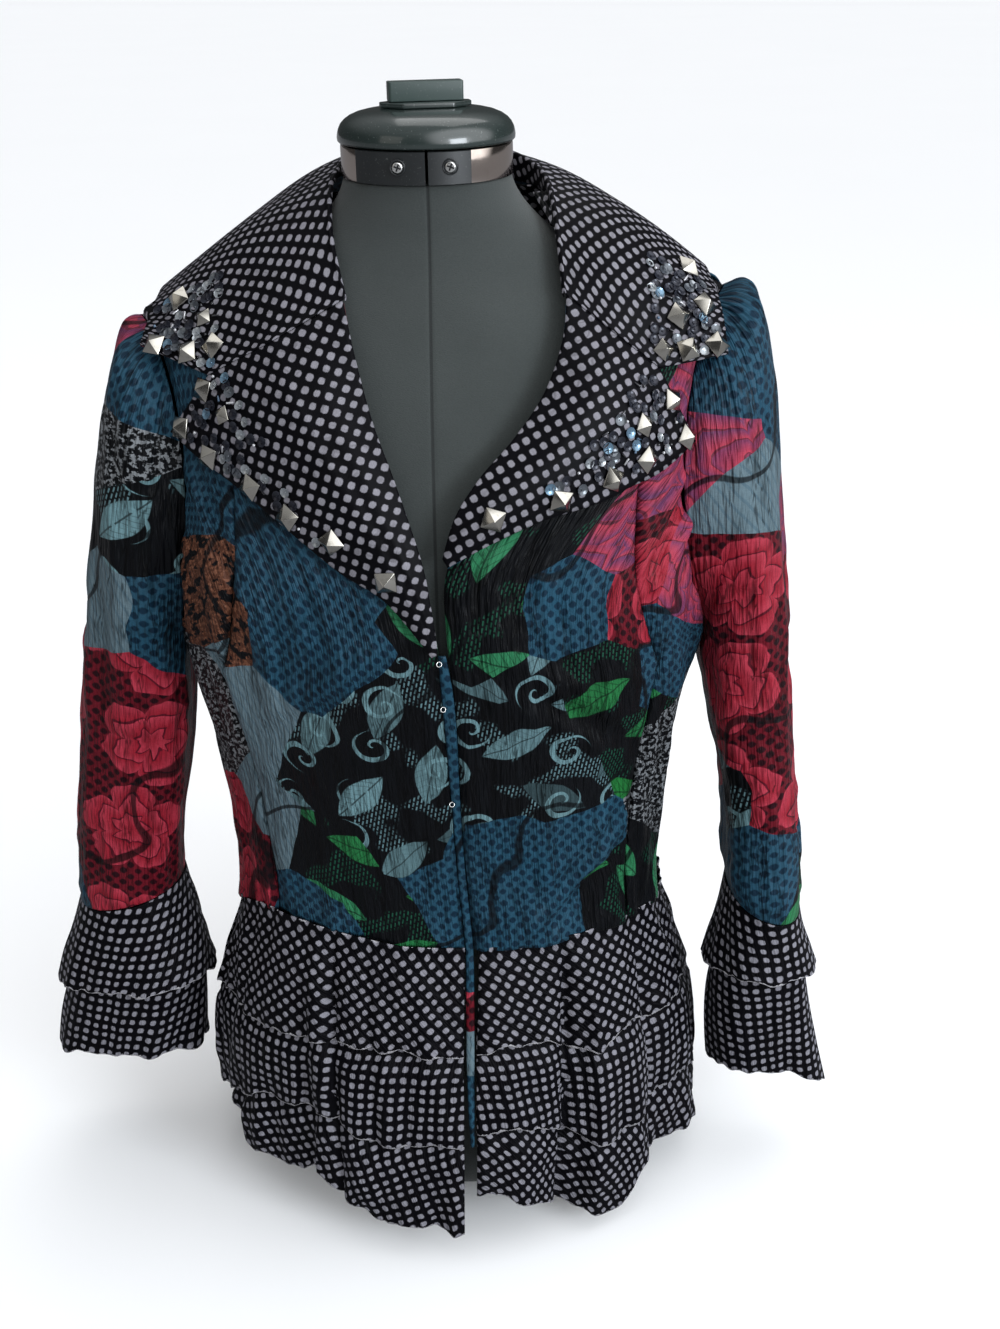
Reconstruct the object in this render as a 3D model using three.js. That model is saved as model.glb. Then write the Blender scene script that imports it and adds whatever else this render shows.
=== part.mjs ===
// Embellished jacket on a limbless dress form.
// Millimetres, +Z up, the front faces -Y, +X is to the right as seen from the front.
// The origin is the middle of the form's flat bottom. Left and right are as seen from the front.
import * as THREE from 'three';

// Driving dimensions
const SEAM_GAP = 0.4;            // left between two pieces that are sewn together
const SHOULDER_GAP = 0.9;        // half the gap of the sloping shoulder seam, at its outer face
const CLOTH = 1.4;               // wall of the print cloth and the ruffles
const COLLAR_WALL = 1.2;         // wall of the collar and the lapels
const ARMPIT_HEIGHT = 431;       // lowest point of the armholes
const BODY_SQUARENESS = 2.3;     // 2 is an ellipse, more is squarer
const FORM_SQUARENESS = 2.15;
const SLEEVE_SQUARENESS = 2.2;
const SHOULDER_LIFT = { left: -6, right: 6 };   // the right shoulder sits a little higher
const ARMHOLE_GAP = 0.9;         // from the bodice to the sleeve's first ring
const UNDERARM_GAP = 1.6;        // added to it under the arm
const PRINCESS_SEAM = 0.56;      // place of the seam across each front, 0 edge to 1 side
const STRIP_ROUND = 0.8;         // how far the middle of the facing strip stands out
const PANEL_GAP = 0.002;         // half the gap of an upright seam, as a share of a front's width
const STUD_STEEPNESS = 0.42;     // a stud's pyramid height as a share of its side
const STUD_PLATE = 1;            // straight part of a stud under its pyramid
const STUD_LIFT = 0.7;           // from the cloth's face to a stud's flat back, at its middle

const COLOURS = {
  print: 0x24485c, dots: 0x17161f, facing: 0x2c5b86, form: 0x3f4846,
  plastic: 0x232c2b, chrome: 0x8d857c, metal: 0x8f8b83,
};

// The jacket's body below the armpits: height, half width, depth in front, depth behind
const BODY = table(['z', 'half', 'front', 'back'], [
  [226, 148, 105, 92], [265, 146, 104, 90], [300, 148, 107, 90],
  [345, 152, 112, 94], [390, 161, 119, 98], [431, 169, 126, 102],
]);
// Height of the waist seam by the angle round the body, 0 in front, 90 at the right side
const WAIST_SEAM = table(['angle', 'z'], [
  [-180, 232], [-90, 222], [-50, 245], [0, 233], [45, 233], [90, 226], [180, 232],
]);
// The narrow facing strip that shows between the two fronts: height, left and right edge, depth
const STRIP = table(['z', 'left', 'right', 'depth'], [
  [95, 12.5, 15, 137], [120, 11.5, 15.5, 131.4], [160, 11, 16.3, 122.5], [200, 11.5, 17, 113.6],
  [234, 12, 17, 105.2], [260, 10.3, 15.4, 104.1], [300, 8, 13, 107], [350, 6, 11.5, 112.7],
  [400, 4, 11, 120.6], [431, 2.5, 9.5, 126], [458, 1.5, 6, 129.5],
]);
// Edge of each front from the armpit's height up the roll line to the neck point
const ROLL = {
  left: table(['x', 'y', 'z'], [
    [2, -126, 431], [1, -129.5, 465], [-9, -127.5, 516], [-26, -115, 562], [-39, -101, 594],
    [-49, -83, 630], [-55, -66, 656], [-62, -40, 682], [-63, 12, 703],
  ]),
  right: table(['x', 'y', 'z'], [
    [10, -126, 431], [7, -129.5, 470], [9, -126.5, 512], [36, -113, 560], [64, -95, 594],
    [84, -75, 628], [87, -56, 652], [80, -36, 676], [63, 12, 702],
  ]),
};
const BACK_MIDDLE = table(['x', 'y', 'z'], [
  [0, 102, 431], [0, 106, 480], [0, 106, 540], [0, 98, 600], [0, 85, 650], [0, 72, 685], [0, 63.4, 701],
]);
// Armhole from the armpit to the shoulder point, front half and back half
const ARMHOLE = {
  front: table(['x', 'y', 'z'], [
    [169, 0, 431], [163, -38, 452], [154, -55, 500], [151, -56, 550], [156, -45, 598],
    [168, -22, 630], [179, 0, 640],
  ]),
  back: table(['x', 'y', 'z'], [
    [169, 0, 431], [164, 38, 452], [156, 56, 500], [153, 58, 550], [158, 48, 598],
    [169, 24, 630], [179, 0, 640],
  ]),
};
// Shoulder seam from the neck point outwards, and the back neckline from the middle to it
const SHOULDER_SEAM = table(['x', 'y', 'z'], [
  [63, 12, 703], [84, 8, 694], [110, 4, 681], [138, 2, 665], [162, 0, 650], [179, 0, 640],
]);
const BACK_TOP = table(['x', 'y', 'z'], [
  [0, 63.4, 701], [34, 57, 701], [60, 36, 700], [84, 12, 692], [110, 5, 680], [138, 2, 664],
  [160, 0, 651], [179, 0, 640],
]);
// Sleeve rings: outer point, inner point, depth in front and behind
const SLEEVE = {
  left: table(['ox', 'oz', 'ix', 'iz', 'front', 'back'], [
    [190, 628, 170.5, 424, -60, 56], [201, 596, 171, 414, -60, 56], [211, 550, 171.5, 403, -58, 54],
    [221, 500, 172, 390, -54, 50], [232, 446, 173, 372, -50, 46], [241, 392, 176, 345, -46, 42],
    [247, 345, 181, 318, -43, 39], [254, 300, 187, 290, -41, 37], [262, 250, 191, 258, -41, 37],
    [266, 222, 192, 236, -42, 38],
  ]),
  right: table(['ox', 'oz', 'ix', 'iz', 'front', 'back'], [
    [196, 644, 170.5, 424, -60, 56], [206, 606, 171, 414, -60, 56], [213, 560, 172, 403, -60, 54],
    [219, 510, 174, 390, -60, 50], [225, 450, 178, 372, -60, 42], [229, 396, 184, 345, -62, 36],
    [233, 345, 190, 318, -65, 31], [237, 300, 193, 290, -68, 27], [242, 250, 194, 258, -72, 22],
    [245, 222, 195, 236, -75, 20],
  ]),
};
// Cuff ruffles, upper and lower tier: as the sleeve rings, and how far the front is raised
const CUFF = {
  left: [
    table(['ox', 'oz', 'ix', 'iz', 'front', 'back', 'rise'], [
      [266.5, 221, 191.5, 235, -42.5, 38.5, 0], [274, 200, 187, 212, -46, 42, 3],
      [284, 176, 180, 182, -49, 44, 6], [291, 153, 174, 155, -51, 46, 8],
    ]),
    table(['ox', 'oz', 'ix', 'iz', 'front', 'back', 'rise'], [
      [264.5, 219.6, 193.4, 233.4, -40.6, 36.6, 0], [269, 190, 190, 194, -41, 37, 6],
      [279, 162, 183.5, 165, -44, 40, 8],
      [290, 128, 184, 128, -46, 42, 10], [297, 96, 184, 93, -48, 44, 12],
    ]),
  ],
  right: [
    table(['ox', 'oz', 'ix', 'iz', 'front', 'back', 'rise'], [
      [245.5, 221, 194.5, 235, -75.5, 20.5, 0], [249, 203, 190, 213, -76, 19, 4],
      [255, 186, 184, 193, -77, 17, 8], [260, 170, 178, 174, -78, 15, 10],
    ]),
    table(['ox', 'oz', 'ix', 'iz', 'front', 'back', 'rise'], [
      [243.5, 219.6, 196.4, 233.4, -73.6, 18.6, 0], [246, 196, 192, 200, -71, 12, 8],
      [253, 165, 186, 166, -69, 9, 10],
      [262, 118, 182, 124, -67, 7, 14], [274, 66, 183, 86, -66, 6, 18],
    ]),
  ],
};
const CUFF_WAVES = table(['angle', 'width', 'depth'], [
  [0, 22, -2], [40, 20, 3], [80, 18, -3], [118, 20, 3.5], [180, 24, -3], [232, 20, 3.5],
  [272, 18, -3], [318, 20, 3],
]);
const CUFF_WAVE_SPREAD = 100;     // a wave's depth is for a ruffle of this width at its lower edge
// Outer shape of the peplum by the distance below the waist seam
const PEPLUM = table(['below', 'half', 'front', 'back', 'square'], [
  [0, 148.2, 105.6, 92, 2.3], [35, 160, 117, 104, 2.15], [75, 172, 128, 117, 2],
  [115, 178, 136, 126, 1.93], [155, 179.5, 141, 131, 1.88], [195, 180, 146, 135, 1.82],
  [225, 178, 148, 136, 1.8],
]);
const TIER_TOP = [null, 188, 128];   // height of the hidden top of the middle and the lower tier
const TIER_INSET = 5.5;              // a covered tier lies this far inside the one above
const TIER_SEAT = 2.6;                // and this far at its top, where it is sewn on
const TIER_SEAT_SHARE = 0.12;        // share of a tier's height that runs up to that seam
const TIER_STEP_OUT = 16;            // and comes out to the full shape over this height
// Height of each tier's edge by the angle round the body, for the left and the right half
const TIER_EDGE = [
  {
    left: table(['angle', 'z'], [[-180, 152], [-130, 154], [-90, 150], [-70, 158], [-48, 162],
      [-20, 166], [4, 162]]),
    right: table(['angle', 'z'], [[4, 162], [20, 165], [34, 154], [46, 160], [60, 152], [75, 157],
      [90, 150], [130, 154], [180, 152]]),
  },
  {
    left: table(['angle', 'z'], [[-180, 84], [-130, 82], [-90, 60], [-80, 64], [-62, 88],
      [-48, 103], [-28, 106], [-20, 97], [4, 96]]),
    right: table(['angle', 'z'], [[4, 104], [14, 108], [20, 102], [34, 82], [46, 84], [65, 89],
      [85, 77], [130, 84], [180, 84]]),
  },
  {
    left: table(['angle', 'z'], [[-180, 38], [-130, 32], [-90, 50], [-70, 68], [-55, 52],
      [-40, 50], [-34, 57], [-28, 50], [-20, 33], [4, 27]]),
    right: table(['angle', 'z'], [[4, 56], [14, 54], [28, 30], [40, 16], [48, 39], [66, 40],
      [84, 27], [90, 24], [130, 34], [180, 38]]),
  },
];
// Upright folds of the peplum, the same in all three tiers so that they nest
const PEPLUM_FOLDS = table(['angle', 'width', 'depth'], [
  [-166, 9, 6], [-147, 9, -6], [-124, 9, 7], [-104, 8, -5], [-84, 7, 1], [-68, 7, -5],
  [-53, 8, 4], [-38, 7, -8], [-25, 7, 5], [-10, 7, -2], [13, 8, 3], [30, 6, -6], [43, 8, 8],
  [58, 7, -5], [71, 7, 5], [84, 6, -3], [104, 8, 6], [127, 9, -6], [149, 9, 7], [170, 9, -5],
]);
const FOLD_START_HEIGHT = 225;   // the folds die out at this height
const FOLD_FULL_HEIGHT = 60;     // and have their full depth at this one
const PEPLUM_OPENING = { left: 3, right: 6 };   // angles of the two front edges
const SIDE_GAP = 0.15;           // half the gap of a peplum's side seam, in degrees

// Collar and lapels. The gorge is the line where they meet: fold, middle, notch
const GORGE = {
  left: [[-48, -71, 655], [-90, -83, 634], [-130, -69, 612]],
  right: [[80, -64, 654], [109, -71, 632], [135, -68, 611]],
};
const LAPEL = {
  left: {
    fold: table(['x', 'y', 'z'], [[-48, -71, 655], [-42, -89, 630], [-32, -107, 594],
      [-20, -120, 562], [-6, -131.5, 518], [-1, -134.5, 488], [2, -134.5, 460]]),
    edge: table(['x', 'y', 'z'], [[-157, -59, 576], [-138, -78, 565], [-117, -95, 555],
      [-85, -116, 534], [-54, -129, 511], [-27, -134, 493], [-2, -136, 459]]),
  },
  right: {
    fold: table(['x', 'y', 'z'], [[80, -64, 654], [77, -80, 632], [66, -97, 606],
      [48, -110, 583], [29, -120, 564], [14, -128, 543], [6, -132, 519]]),
    edge: table(['x', 'y', 'z'], [[158, -61, 565], [136, -84, 554], [116, -98, 549],
      [98, -110, 544], [62, -123, 537], [31, -130, 525], [9, -133, 514]]),
  },
};
const LAPEL_NOTCH_PLACE = 0.75;  // share of the lapel's top edge that is the gorge
const LAPEL_BULGE = 9;
// Collar sections from the left front end round the neck: fold, middle, edge, stand height
const COLLAR = table(['fx', 'fy', 'fz', 'mx', 'my', 'mz', 'ex', 'ey', 'ez', 'stand'], [
  [-48, -71, 655.6, -90, -83, 634.6, -174, -39, 624, 2],
  [-56.5, -45, 685, -108, -51, 656, -171, -29, 634, 2],
  [-59, -14, 708, -112, -21, 680, -167, -12, 646, 2.5],
  [-56, 14, 717, -108, 6, 691, -161, 8, 652, 5],
  [-50, 40, 722, -98, 44, 694, -140, 56, 642, 13],
  [-30, 60, 724, -58, 82, 694, -82, 104, 640, 19],
  [2, 67, 725, 4, 92, 694, 4, 112, 636, 20],
  [36, 62, 723, 66, 84, 694, 88, 104, 642, 19],
  [60, 44, 717, 102, 46, 698, 142, 56, 648, 14],
  [72, 18, 710, 114, 10, 696, 164, 4, 660, 9],
  [76, -12, 700, 118, -20, 684, 171, -14, 650, 5],
  [78, -40, 680, 118, -52, 658, 175, -32, 636, 2.5],
  [80, -64, 654.6, 109, -71, 632.6, 177, -50, 615, 2],
]);
const COLLAR_TURN = 3.4;           // width of the fold, from the stand's face to the fall's face
const COLLAR_NOTCH_PLACE = 0.667;
const COLLAR_ABOVE_LAPEL = 0.6;    // height between the collar's end and the lapel's top edge
const COLLAR_END_REACH = 1.5;      // sections over which the collar's end bends to that line
const NECK_MIDDLE_Y = 8;
// Studs on each piece: place across and along it, side length, turn in degrees
const STUDS = {
  collar: table(['across', 'along', 'side', 'turn'], [
    [0.83, 0.12, 12, 20], [0.68, 0.075, 9, 10], [0.93, 0.022, 12, 5], [0.77, 0.025, 12, 25],
    [0.64, 0.037, 12, 35],
    [0.85, 0.843, 12, 15], [0.9, 0.91, 12, 40], [0.75, 0.935, 12, 60], [0.945, 0.975, 12, 30],
    [0.8, 0.978, 12, 10], [0.68, 0.975, 10, 45],
  ]),
  lapel_left: table(['across', 'along', 'side', 'turn'], [
    [0.79, 0.03, 12, 30], [0.955, 0.045, 12, 40], [0.778, 0.142, 9, 70], [0.96, 0.2, 12, 35],
    [0.935, 0.375, 12, 25], [0.91, 0.483, 12, 20], [0.778, 0.583, 12, 10], [0.535, 0.717, 12, 5],
  ]),
  lapel_right: table(['across', 'along', 'side', 'turn'], [
    [0.84, 0.025, 12, 50], [0.805, 0.158, 11, 30], [0.965, 0.04, 12, 25], [0.92, 0.208, 12, 10],
    [0.9, 0.392, 12, 30], [0.855, 0.583, 12, 35], [0.6, 0.75, 12, 20],
  ]),
};

// Dress form: height, half width, depth in front and behind
const FORM = table(['z', 'half', 'front', 'back'], [
  [0, 112, 58, 66], [6, 128, 72, 80], [20, 146, 86, 94], [45, 153, 97, 102], [80, 154, 101, 103],
  [140, 147, 98, 92], [200, 138, 92, 82], [240, 134, 90, 80], [300, 136, 96, 81],
  [350, 141, 102, 86], [400, 149, 111, 91], [440, 157, 117, 95], [500, 155, 118, 97],
  [550, 148, 108, 95], [590, 143, 95, 89], [620, 135, 81, 79], [645, 118, 68, 68],
  [662, 100, 56.5, 60], [675, 83, 51.5, 56], [686, 69.5, 49.5, 53], [697, 59, 49.5, 51],
  [706, 53, 49.5, 49],
  [714, 50, 50, 47],
]);
const BAND = { bottom: 714.4, top: 733.5, half: 51, front: 53, back: 49, wall: 2.5, split: 0.8 };
const DOME = { half: 52.5, front: 54.5, back: 50.5 };
const DOME_PROFILE = table(['z', 'share'], [
  [734, 0.97], [735, 1], [740, 0.99], [745, 0.94], [749, 0.85], [751.5, 0.72], [752.5, 0.58],
]);
const SCREW = { x: 15, z: 725, radius: 4, height: 2.2, clearance: 1.6 };
const KNOB_PLATE = { width: 54, depth: 30, corner: 12, height: 3, bottom: 752.8 };
const KNOB = { width: 44, depth: 13, corner: 1, height: 11, bottom: 756.1 };
const KNOB_TURN = 10;            // degrees that the knob stands turned

// Small helpers
function table(columns, rows) {
  return rows.map((row) => Object.fromEntries(columns.map((name, i) => [name, row[i]])));
}
const mix = (a, b, t) => a + (b - a) * t;
const radians = (degrees) => (degrees * Math.PI) / 180;
const signedPower = (value, power) => Math.sign(value) * Math.abs(value) ** power;
const signOf = (side) => (side === 'left' ? -1 : 1);
const spaced = (from, to, steps) =>
  Array.from({ length: steps + 1 }, (_, i) => mix(from, to, i / steps));

// Smooth value of every column at a share t of the way down a table
function along(rows, t) {
  const last = rows.length - 1;
  const s = Math.min(Math.max(t, 0), 1) * last;
  const i = Math.min(Math.floor(s), last - 1);
  const f = s - i;
  const [a, b, c, d] = [rows[Math.max(i - 1, 0)], rows[i], rows[i + 1], rows[Math.min(i + 2, last)]];
  const out = {};
  for (const key of Object.keys(b)) {
    out[key] = 0.5 * (2 * b[key] + (c[key] - a[key]) * f
      + (2 * a[key] - 5 * b[key] + 4 * c[key] - d[key]) * f * f
      + (-a[key] + 3 * b[key] - 3 * c[key] + d[key]) * f * f * f);
  }
  return out;
}

// Smooth value of every column where the first column has a given value
function lookUp(rows, key, value) {
  const last = rows.length - 1;
  const v = Math.min(Math.max(value, rows[0][key]), rows[last][key]);
  let i = 0;
  while (i < last - 1 && rows[i + 1][key] < v) i += 1;
  const [a, b, c, d] = [rows[Math.max(i - 1, 0)], rows[i], rows[i + 1], rows[Math.min(i + 2, last)]];
  const span = c[key] - b[key];
  const f = (v - b[key]) / span;
  const ease = f * f * (3 - 2 * f);
  const out = {};
  for (const name of Object.keys(b)) {
    const slopeIn = ((c[name] - a[name]) / (c[key] - a[key])) * span;
    const slopeOut = ((d[name] - b[name]) / (d[key] - b[key])) * span;
    out[name] = b[name] * (1 - ease) + c[name] * ease
      + slopeIn * f * (1 - f) ** 2 - slopeOut * f * f * (1 - f);
  }
  return out;
}

// A sum of soft folds round a ring, each a rounded ridge or trough
function folds(rows, angle) {
  let sum = 0;
  for (const { angle: middle, width, depth } of rows) {
    const away = ((((angle - middle + 180) % 360) + 360) % 360) - 180;
    sum += depth * Math.exp(-((away / width) ** 2));
  }
  return sum;
}

// A wall of cloth: the outer face is a grid of points, the inner face lies a thickness below it.
// Rows run one way and columns the other so that (next column) x (next row) points outwards.
// A grid with wrap closes on itself across its columns.
function clothWall(grid, thickness, wrap = false) {
  const rowCount = grid.length;
  const columnCount = grid[0].length;
  const pick = (r, c) => grid[Math.min(Math.max(r, 0), rowCount - 1)][
    wrap ? (c + columnCount) % columnCount : Math.min(Math.max(c, 0), columnCount - 1)];
  const outer = [];
  const inner = [];
  for (let r = 0; r < rowCount; r += 1) {
    for (let c = 0; c < columnCount; c += 1) {
      const across = pick(r, c + 1).clone().sub(pick(r, c - 1));
      const down = pick(r + 1, c).clone().sub(pick(r - 1, c));
      const normal = across.cross(down).normalize();
      outer.push(grid[r][c]);
      inner.push(grid[r][c].clone().addScaledVector(normal, -thickness));
    }
  }
  const points = [...outer, ...inner];
  const faces = [];
  const quad = (a, b, c, d) => faces.push(a, b, c, a, c, d);
  const at = (r, c) => r * columnCount + (c % columnCount);
  const below = (r, c) => at(r, c) + outer.length;
  const lastColumn = wrap ? columnCount : columnCount - 1;
  for (let r = 0; r < rowCount - 1; r += 1) {
    for (let c = 0; c < lastColumn; c += 1) {
      quad(at(r, c), at(r, c + 1), at(r + 1, c + 1), at(r + 1, c));
      quad(below(r, c), below(r + 1, c), below(r + 1, c + 1), below(r, c + 1));
    }
  }
  for (let c = 0; c < lastColumn; c += 1) {
    quad(at(0, c + 1), at(0, c), below(0, c), below(0, c + 1));
    const r = rowCount - 1;
    quad(at(r, c), at(r, c + 1), below(r, c + 1), below(r, c));
  }
  if (!wrap) {
    for (let r = 0; r < rowCount - 1; r += 1) {
      quad(at(r, 0), at(r + 1, 0), below(r + 1, 0), below(r, 0));
      const c = columnCount - 1;
      quad(at(r + 1, c), at(r, c), below(r, c), below(r + 1, c));
    }
  }
  return solidFrom(points, faces);
}

// A solid of stacked rings, closed by a flat fan at the bottom and at the top
function ringSolid(rings) {
  const columnCount = rings[0].length;
  const points = rings.flat();
  const faces = [];
  for (let r = 0; r < rings.length - 1; r += 1) {
    for (let c = 0; c < columnCount; c += 1) {
      const a = r * columnCount + c;
      const b = r * columnCount + ((c + 1) % columnCount);
      faces.push(a, b, b + columnCount, a, b + columnCount, a + columnCount);
    }
  }
  const middleOf = (ring) => ring.reduce((sum, p) => sum.add(p), new THREE.Vector3())
    .divideScalar(ring.length);
  const bottom = points.push(middleOf(rings[0])) - 1;
  const top = points.push(middleOf(rings.at(-1))) - 1;
  const topRow = (rings.length - 1) * columnCount;
  for (let c = 0; c < columnCount; c += 1) {
    const next = (c + 1) % columnCount;
    faces.push(bottom, next, c, top, topRow + c, topRow + next);
  }
  return solidFrom(points, faces);
}

function solidFrom(points, faces) {
  const geometry = new THREE.BufferGeometry();
  geometry.setAttribute('position', new THREE.Float32BufferAttribute(
    points.flatMap((p) => [p.x, p.y, p.z]), 3));
  geometry.setIndex(faces);
  geometry.computeVertexNormals();
  return geometry;
}

const jacket = new THREE.Group();
function addPiece(name, geometry, colour, roughness = 0.8, metalness = 0) {
  const material = new THREE.MeshStandardMaterial({ color: colour, roughness, metalness });
  const mesh = new THREE.Mesh(geometry, material);
  mesh.name = name;
  jacket.add(mesh);
}

// Bodice. A quarter section runs from the middle of the body to its side; roundness 1 gives a
// quarter of a squarish ellipse and 0 gives a straight line.
function quarterSection(middle, side, u, roundness) {
  const angle = (u * Math.PI) / 2;
  const x = mix(u, Math.sin(angle) ** (2 / BODY_SQUARENESS), roundness);
  const y = mix(u, 1 - Math.cos(angle) ** (2 / BODY_SQUARENESS), roundness);
  return new THREE.Vector3(mix(middle.x, side.x, x), mix(middle.y, side.y, y), mix(middle.z, side.z, u));
}

// A point of the bodice: u from the middle to the side, v 0 waist, 1 armpit, 2 shoulder
function bodicePoint(side, face, u, v) {
  const sign = signOf(side);
  if (v <= 1) {
    const angle = sign * (face === 'front' ? mix(0, 90, u) : mix(180, 90, u));
    const z = mix(lookUp(WAIST_SEAM, 'angle', angle).z + SEAM_GAP, ARMPIT_HEIGHT, v);
    const ring = lookUp(BODY, 'z', z);
    const strip = lookUp(STRIP, 'z', z);
    const edgeX = side === 'left' ? strip.left - SEAM_GAP : strip.right + SEAM_GAP;
    const middle = face === 'front' ? { x: edgeX, y: -ring.front, z } : { x: 0, y: ring.back, z };
    return quarterSection(middle, { x: sign * ring.half, y: 0, z }, u, 1);
  }
  const w = v - 1;
  const middle = along(face === 'front' ? ROLL[side] : BACK_MIDDLE, w);
  const hole = along(ARMHOLE[face], w);
  const lift = SHOULDER_LIFT[side] * w * w;
  const point = quarterSection(middle, { x: sign * hole.x, y: hole.y, z: hole.z + lift }, u,
    (1 - w) ** 0.8);
  const top = along(face === 'front' ? SHOULDER_SEAM : BACK_TOP, u);
  const neck = along(face === 'front' ? SHOULDER_SEAM : BACK_TOP, 0);
  const tip = along(SHOULDER_SEAM, 1);
  const pull = w ** 2.5;
  point.x += sign * (top.x - mix(neck.x, tip.x, u)) * pull;
  point.y += (top.y - mix(neck.y, tip.y, u)) * pull;
  point.z += (top.z - mix(neck.z, tip.z, u)) * pull;
  point.y += (face === 'front' ? -1 : 1) * SHOULDER_GAP * w ** 8;
  return point;
}

const BODICE_ROWS = [...spaced(0, 1, 5), ...spaced(1, 2, 9).slice(1)];
function bodicePanel(name, side, face, from, to, columns) {
  const us = spaced(from, to, columns);
  const across = (side === 'left') === (face === 'front') ? [...us].reverse() : us;
  const grid = BODICE_ROWS.map((v) => across.map((u) => bodicePoint(side, face, u, v)));
  addPiece(name, clothWall(grid, CLOTH), COLOURS.print);
}

function addBodice() {
  for (const side of ['left', 'right']) {
    bodicePanel(`front_${side}`, side, 'front', 0, PRINCESS_SEAM - PANEL_GAP, 6);
    bodicePanel(`side_front_${side}`, side, 'front', PRINCESS_SEAM + PANEL_GAP, 1 - PANEL_GAP, 5);
  }
  const halfBack = spaced(0, 1 - PANEL_GAP, 9);
  const grid = BODICE_ROWS.map((v) => [
    ...[...halfBack].reverse().map((u) => bodicePoint('right', 'back', u, v)),
    ...halfBack.slice(1).map((u) => bodicePoint('left', 'back', u, v)),
  ]);
  addPiece('back', clothWall(grid, CLOTH), COLOURS.print);
}

// The facing strip follows the bodice's front and then hangs between the peplum's fronts
function addStrip() {
  const heights = [95, 115, 140, 165, 190, 212, 234, 260, 300, 340, 380, 410, 431, 445, 457];
  const grid = heights.map((z) => {
    const { left, right, depth } = lookUp(STRIP, 'z', z);
    return [0, 0.5, 1].map((u) => new THREE.Vector3(mix(left, right, u),
      -depth - Math.sin(u * Math.PI) * STRIP_ROUND, z));
  });
  addPiece('front_facing_strip', clothWall(grid, COLLAR_WALL), COLOURS.facing);
}

// Sleeves. Angle 0 is the outer point, 90 the front, 180 the inner point under the arm.
function sleevePoint(side, k, angle) {
  const rows = SLEEVE[side];
  const ring = (index) => {
    if (index <= 0) {
      const around = Math.abs(((((angle + 180) % 360) + 360) % 360) - 180);
      const w = 1 - around / 180;
      const turned = ((angle % 360) + 360) % 360;
      const hole = along(turned <= 180 ? ARMHOLE.front : ARMHOLE.back, w);
      return {
        x: hole.x + ARMHOLE_GAP + UNDERARM_GAP * (1 - w) ** 2,
        y: hole.y,
        z: hole.z + SHOULDER_LIFT[side] * w * w,
      };
    }
    const { ox, oz, ix, iz, front, back } = rows[Math.min(index, rows.length) - 1];
    const c = signedPower(Math.cos(radians(angle)), 2 / SLEEVE_SQUARENESS);
    const s = signedPower(Math.sin(radians(angle)), 2 / SLEEVE_SQUARENESS);
    return {
      x: (ox + ix) / 2 + ((ox - ix) / 2) * c,
      y: (front + back) / 2 - ((back - front) / 2) * s,
      z: (oz + iz) / 2 + ((oz - iz) / 2) * c,
    };
  };
  const s = k * rows.length;
  const i = Math.min(Math.floor(s), rows.length - 1);
  const nearby = [ring(i - 1), ring(i), ring(i + 1), ring(Math.min(i + 2, rows.length))];
  const f = s - i;
  const [a, b, c, d] = nearby;
  const blend = (key) => 0.5 * (2 * b[key] + (c[key] - a[key]) * f
    + (2 * a[key] - 5 * b[key] + 4 * c[key] - d[key]) * f * f
    + (-a[key] + 3 * b[key] - 3 * c[key] + d[key]) * f * f * f);
  return new THREE.Vector3(signOf(side) * blend('x'), blend('y'), blend('z'));
}

// Wrapped grids are listed so that their normals point out of the tube
function tubeAngles(side, count) {
  const angles = Array.from({ length: count }, (_, i) => (i * 360) / count);
  return side === 'right' ? angles : angles.reverse();
}

function addSleeve(side) {
  const grid = spaced(0, 1, 15).map((k) => tubeAngles(side, 18).map((a) => sleevePoint(side, k, a)));
  addPiece(`sleeve_${side}`, clothWall(grid, CLOTH, true), COLOURS.print);
}

function addCuffs(side) {
  CUFF[side].forEach((rows, tier) => {
    const grid = spaced(0, 1, rows.length - 1).map((k) => tubeAngles(side, 28).map((angle) => {
      const { ox, oz, ix, iz, front, back, rise } = along(rows, k);
      const wave = 1 + (folds(CUFF_WAVES, angle) * (tier + 1) * k) / CUFF_WAVE_SPREAD;
      const c = Math.cos(radians(angle));
      const s = Math.sin(radians(angle));
      return new THREE.Vector3(signOf(side) * ((ox + ix) / 2 + ((ox - ix) / 2) * c * wave),
        (front + back) / 2 - ((back - front) / 2) * s * wave,
        (oz + iz) / 2 + ((oz - iz) / 2) * c + rise * s);
    }));
    const name = `cuff_${side}_${tier === 0 ? 'upper' : 'lower'}`;
    addPiece(name, clothWall(grid, CLOTH, true), COLOURS.dots);
  });
}

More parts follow.
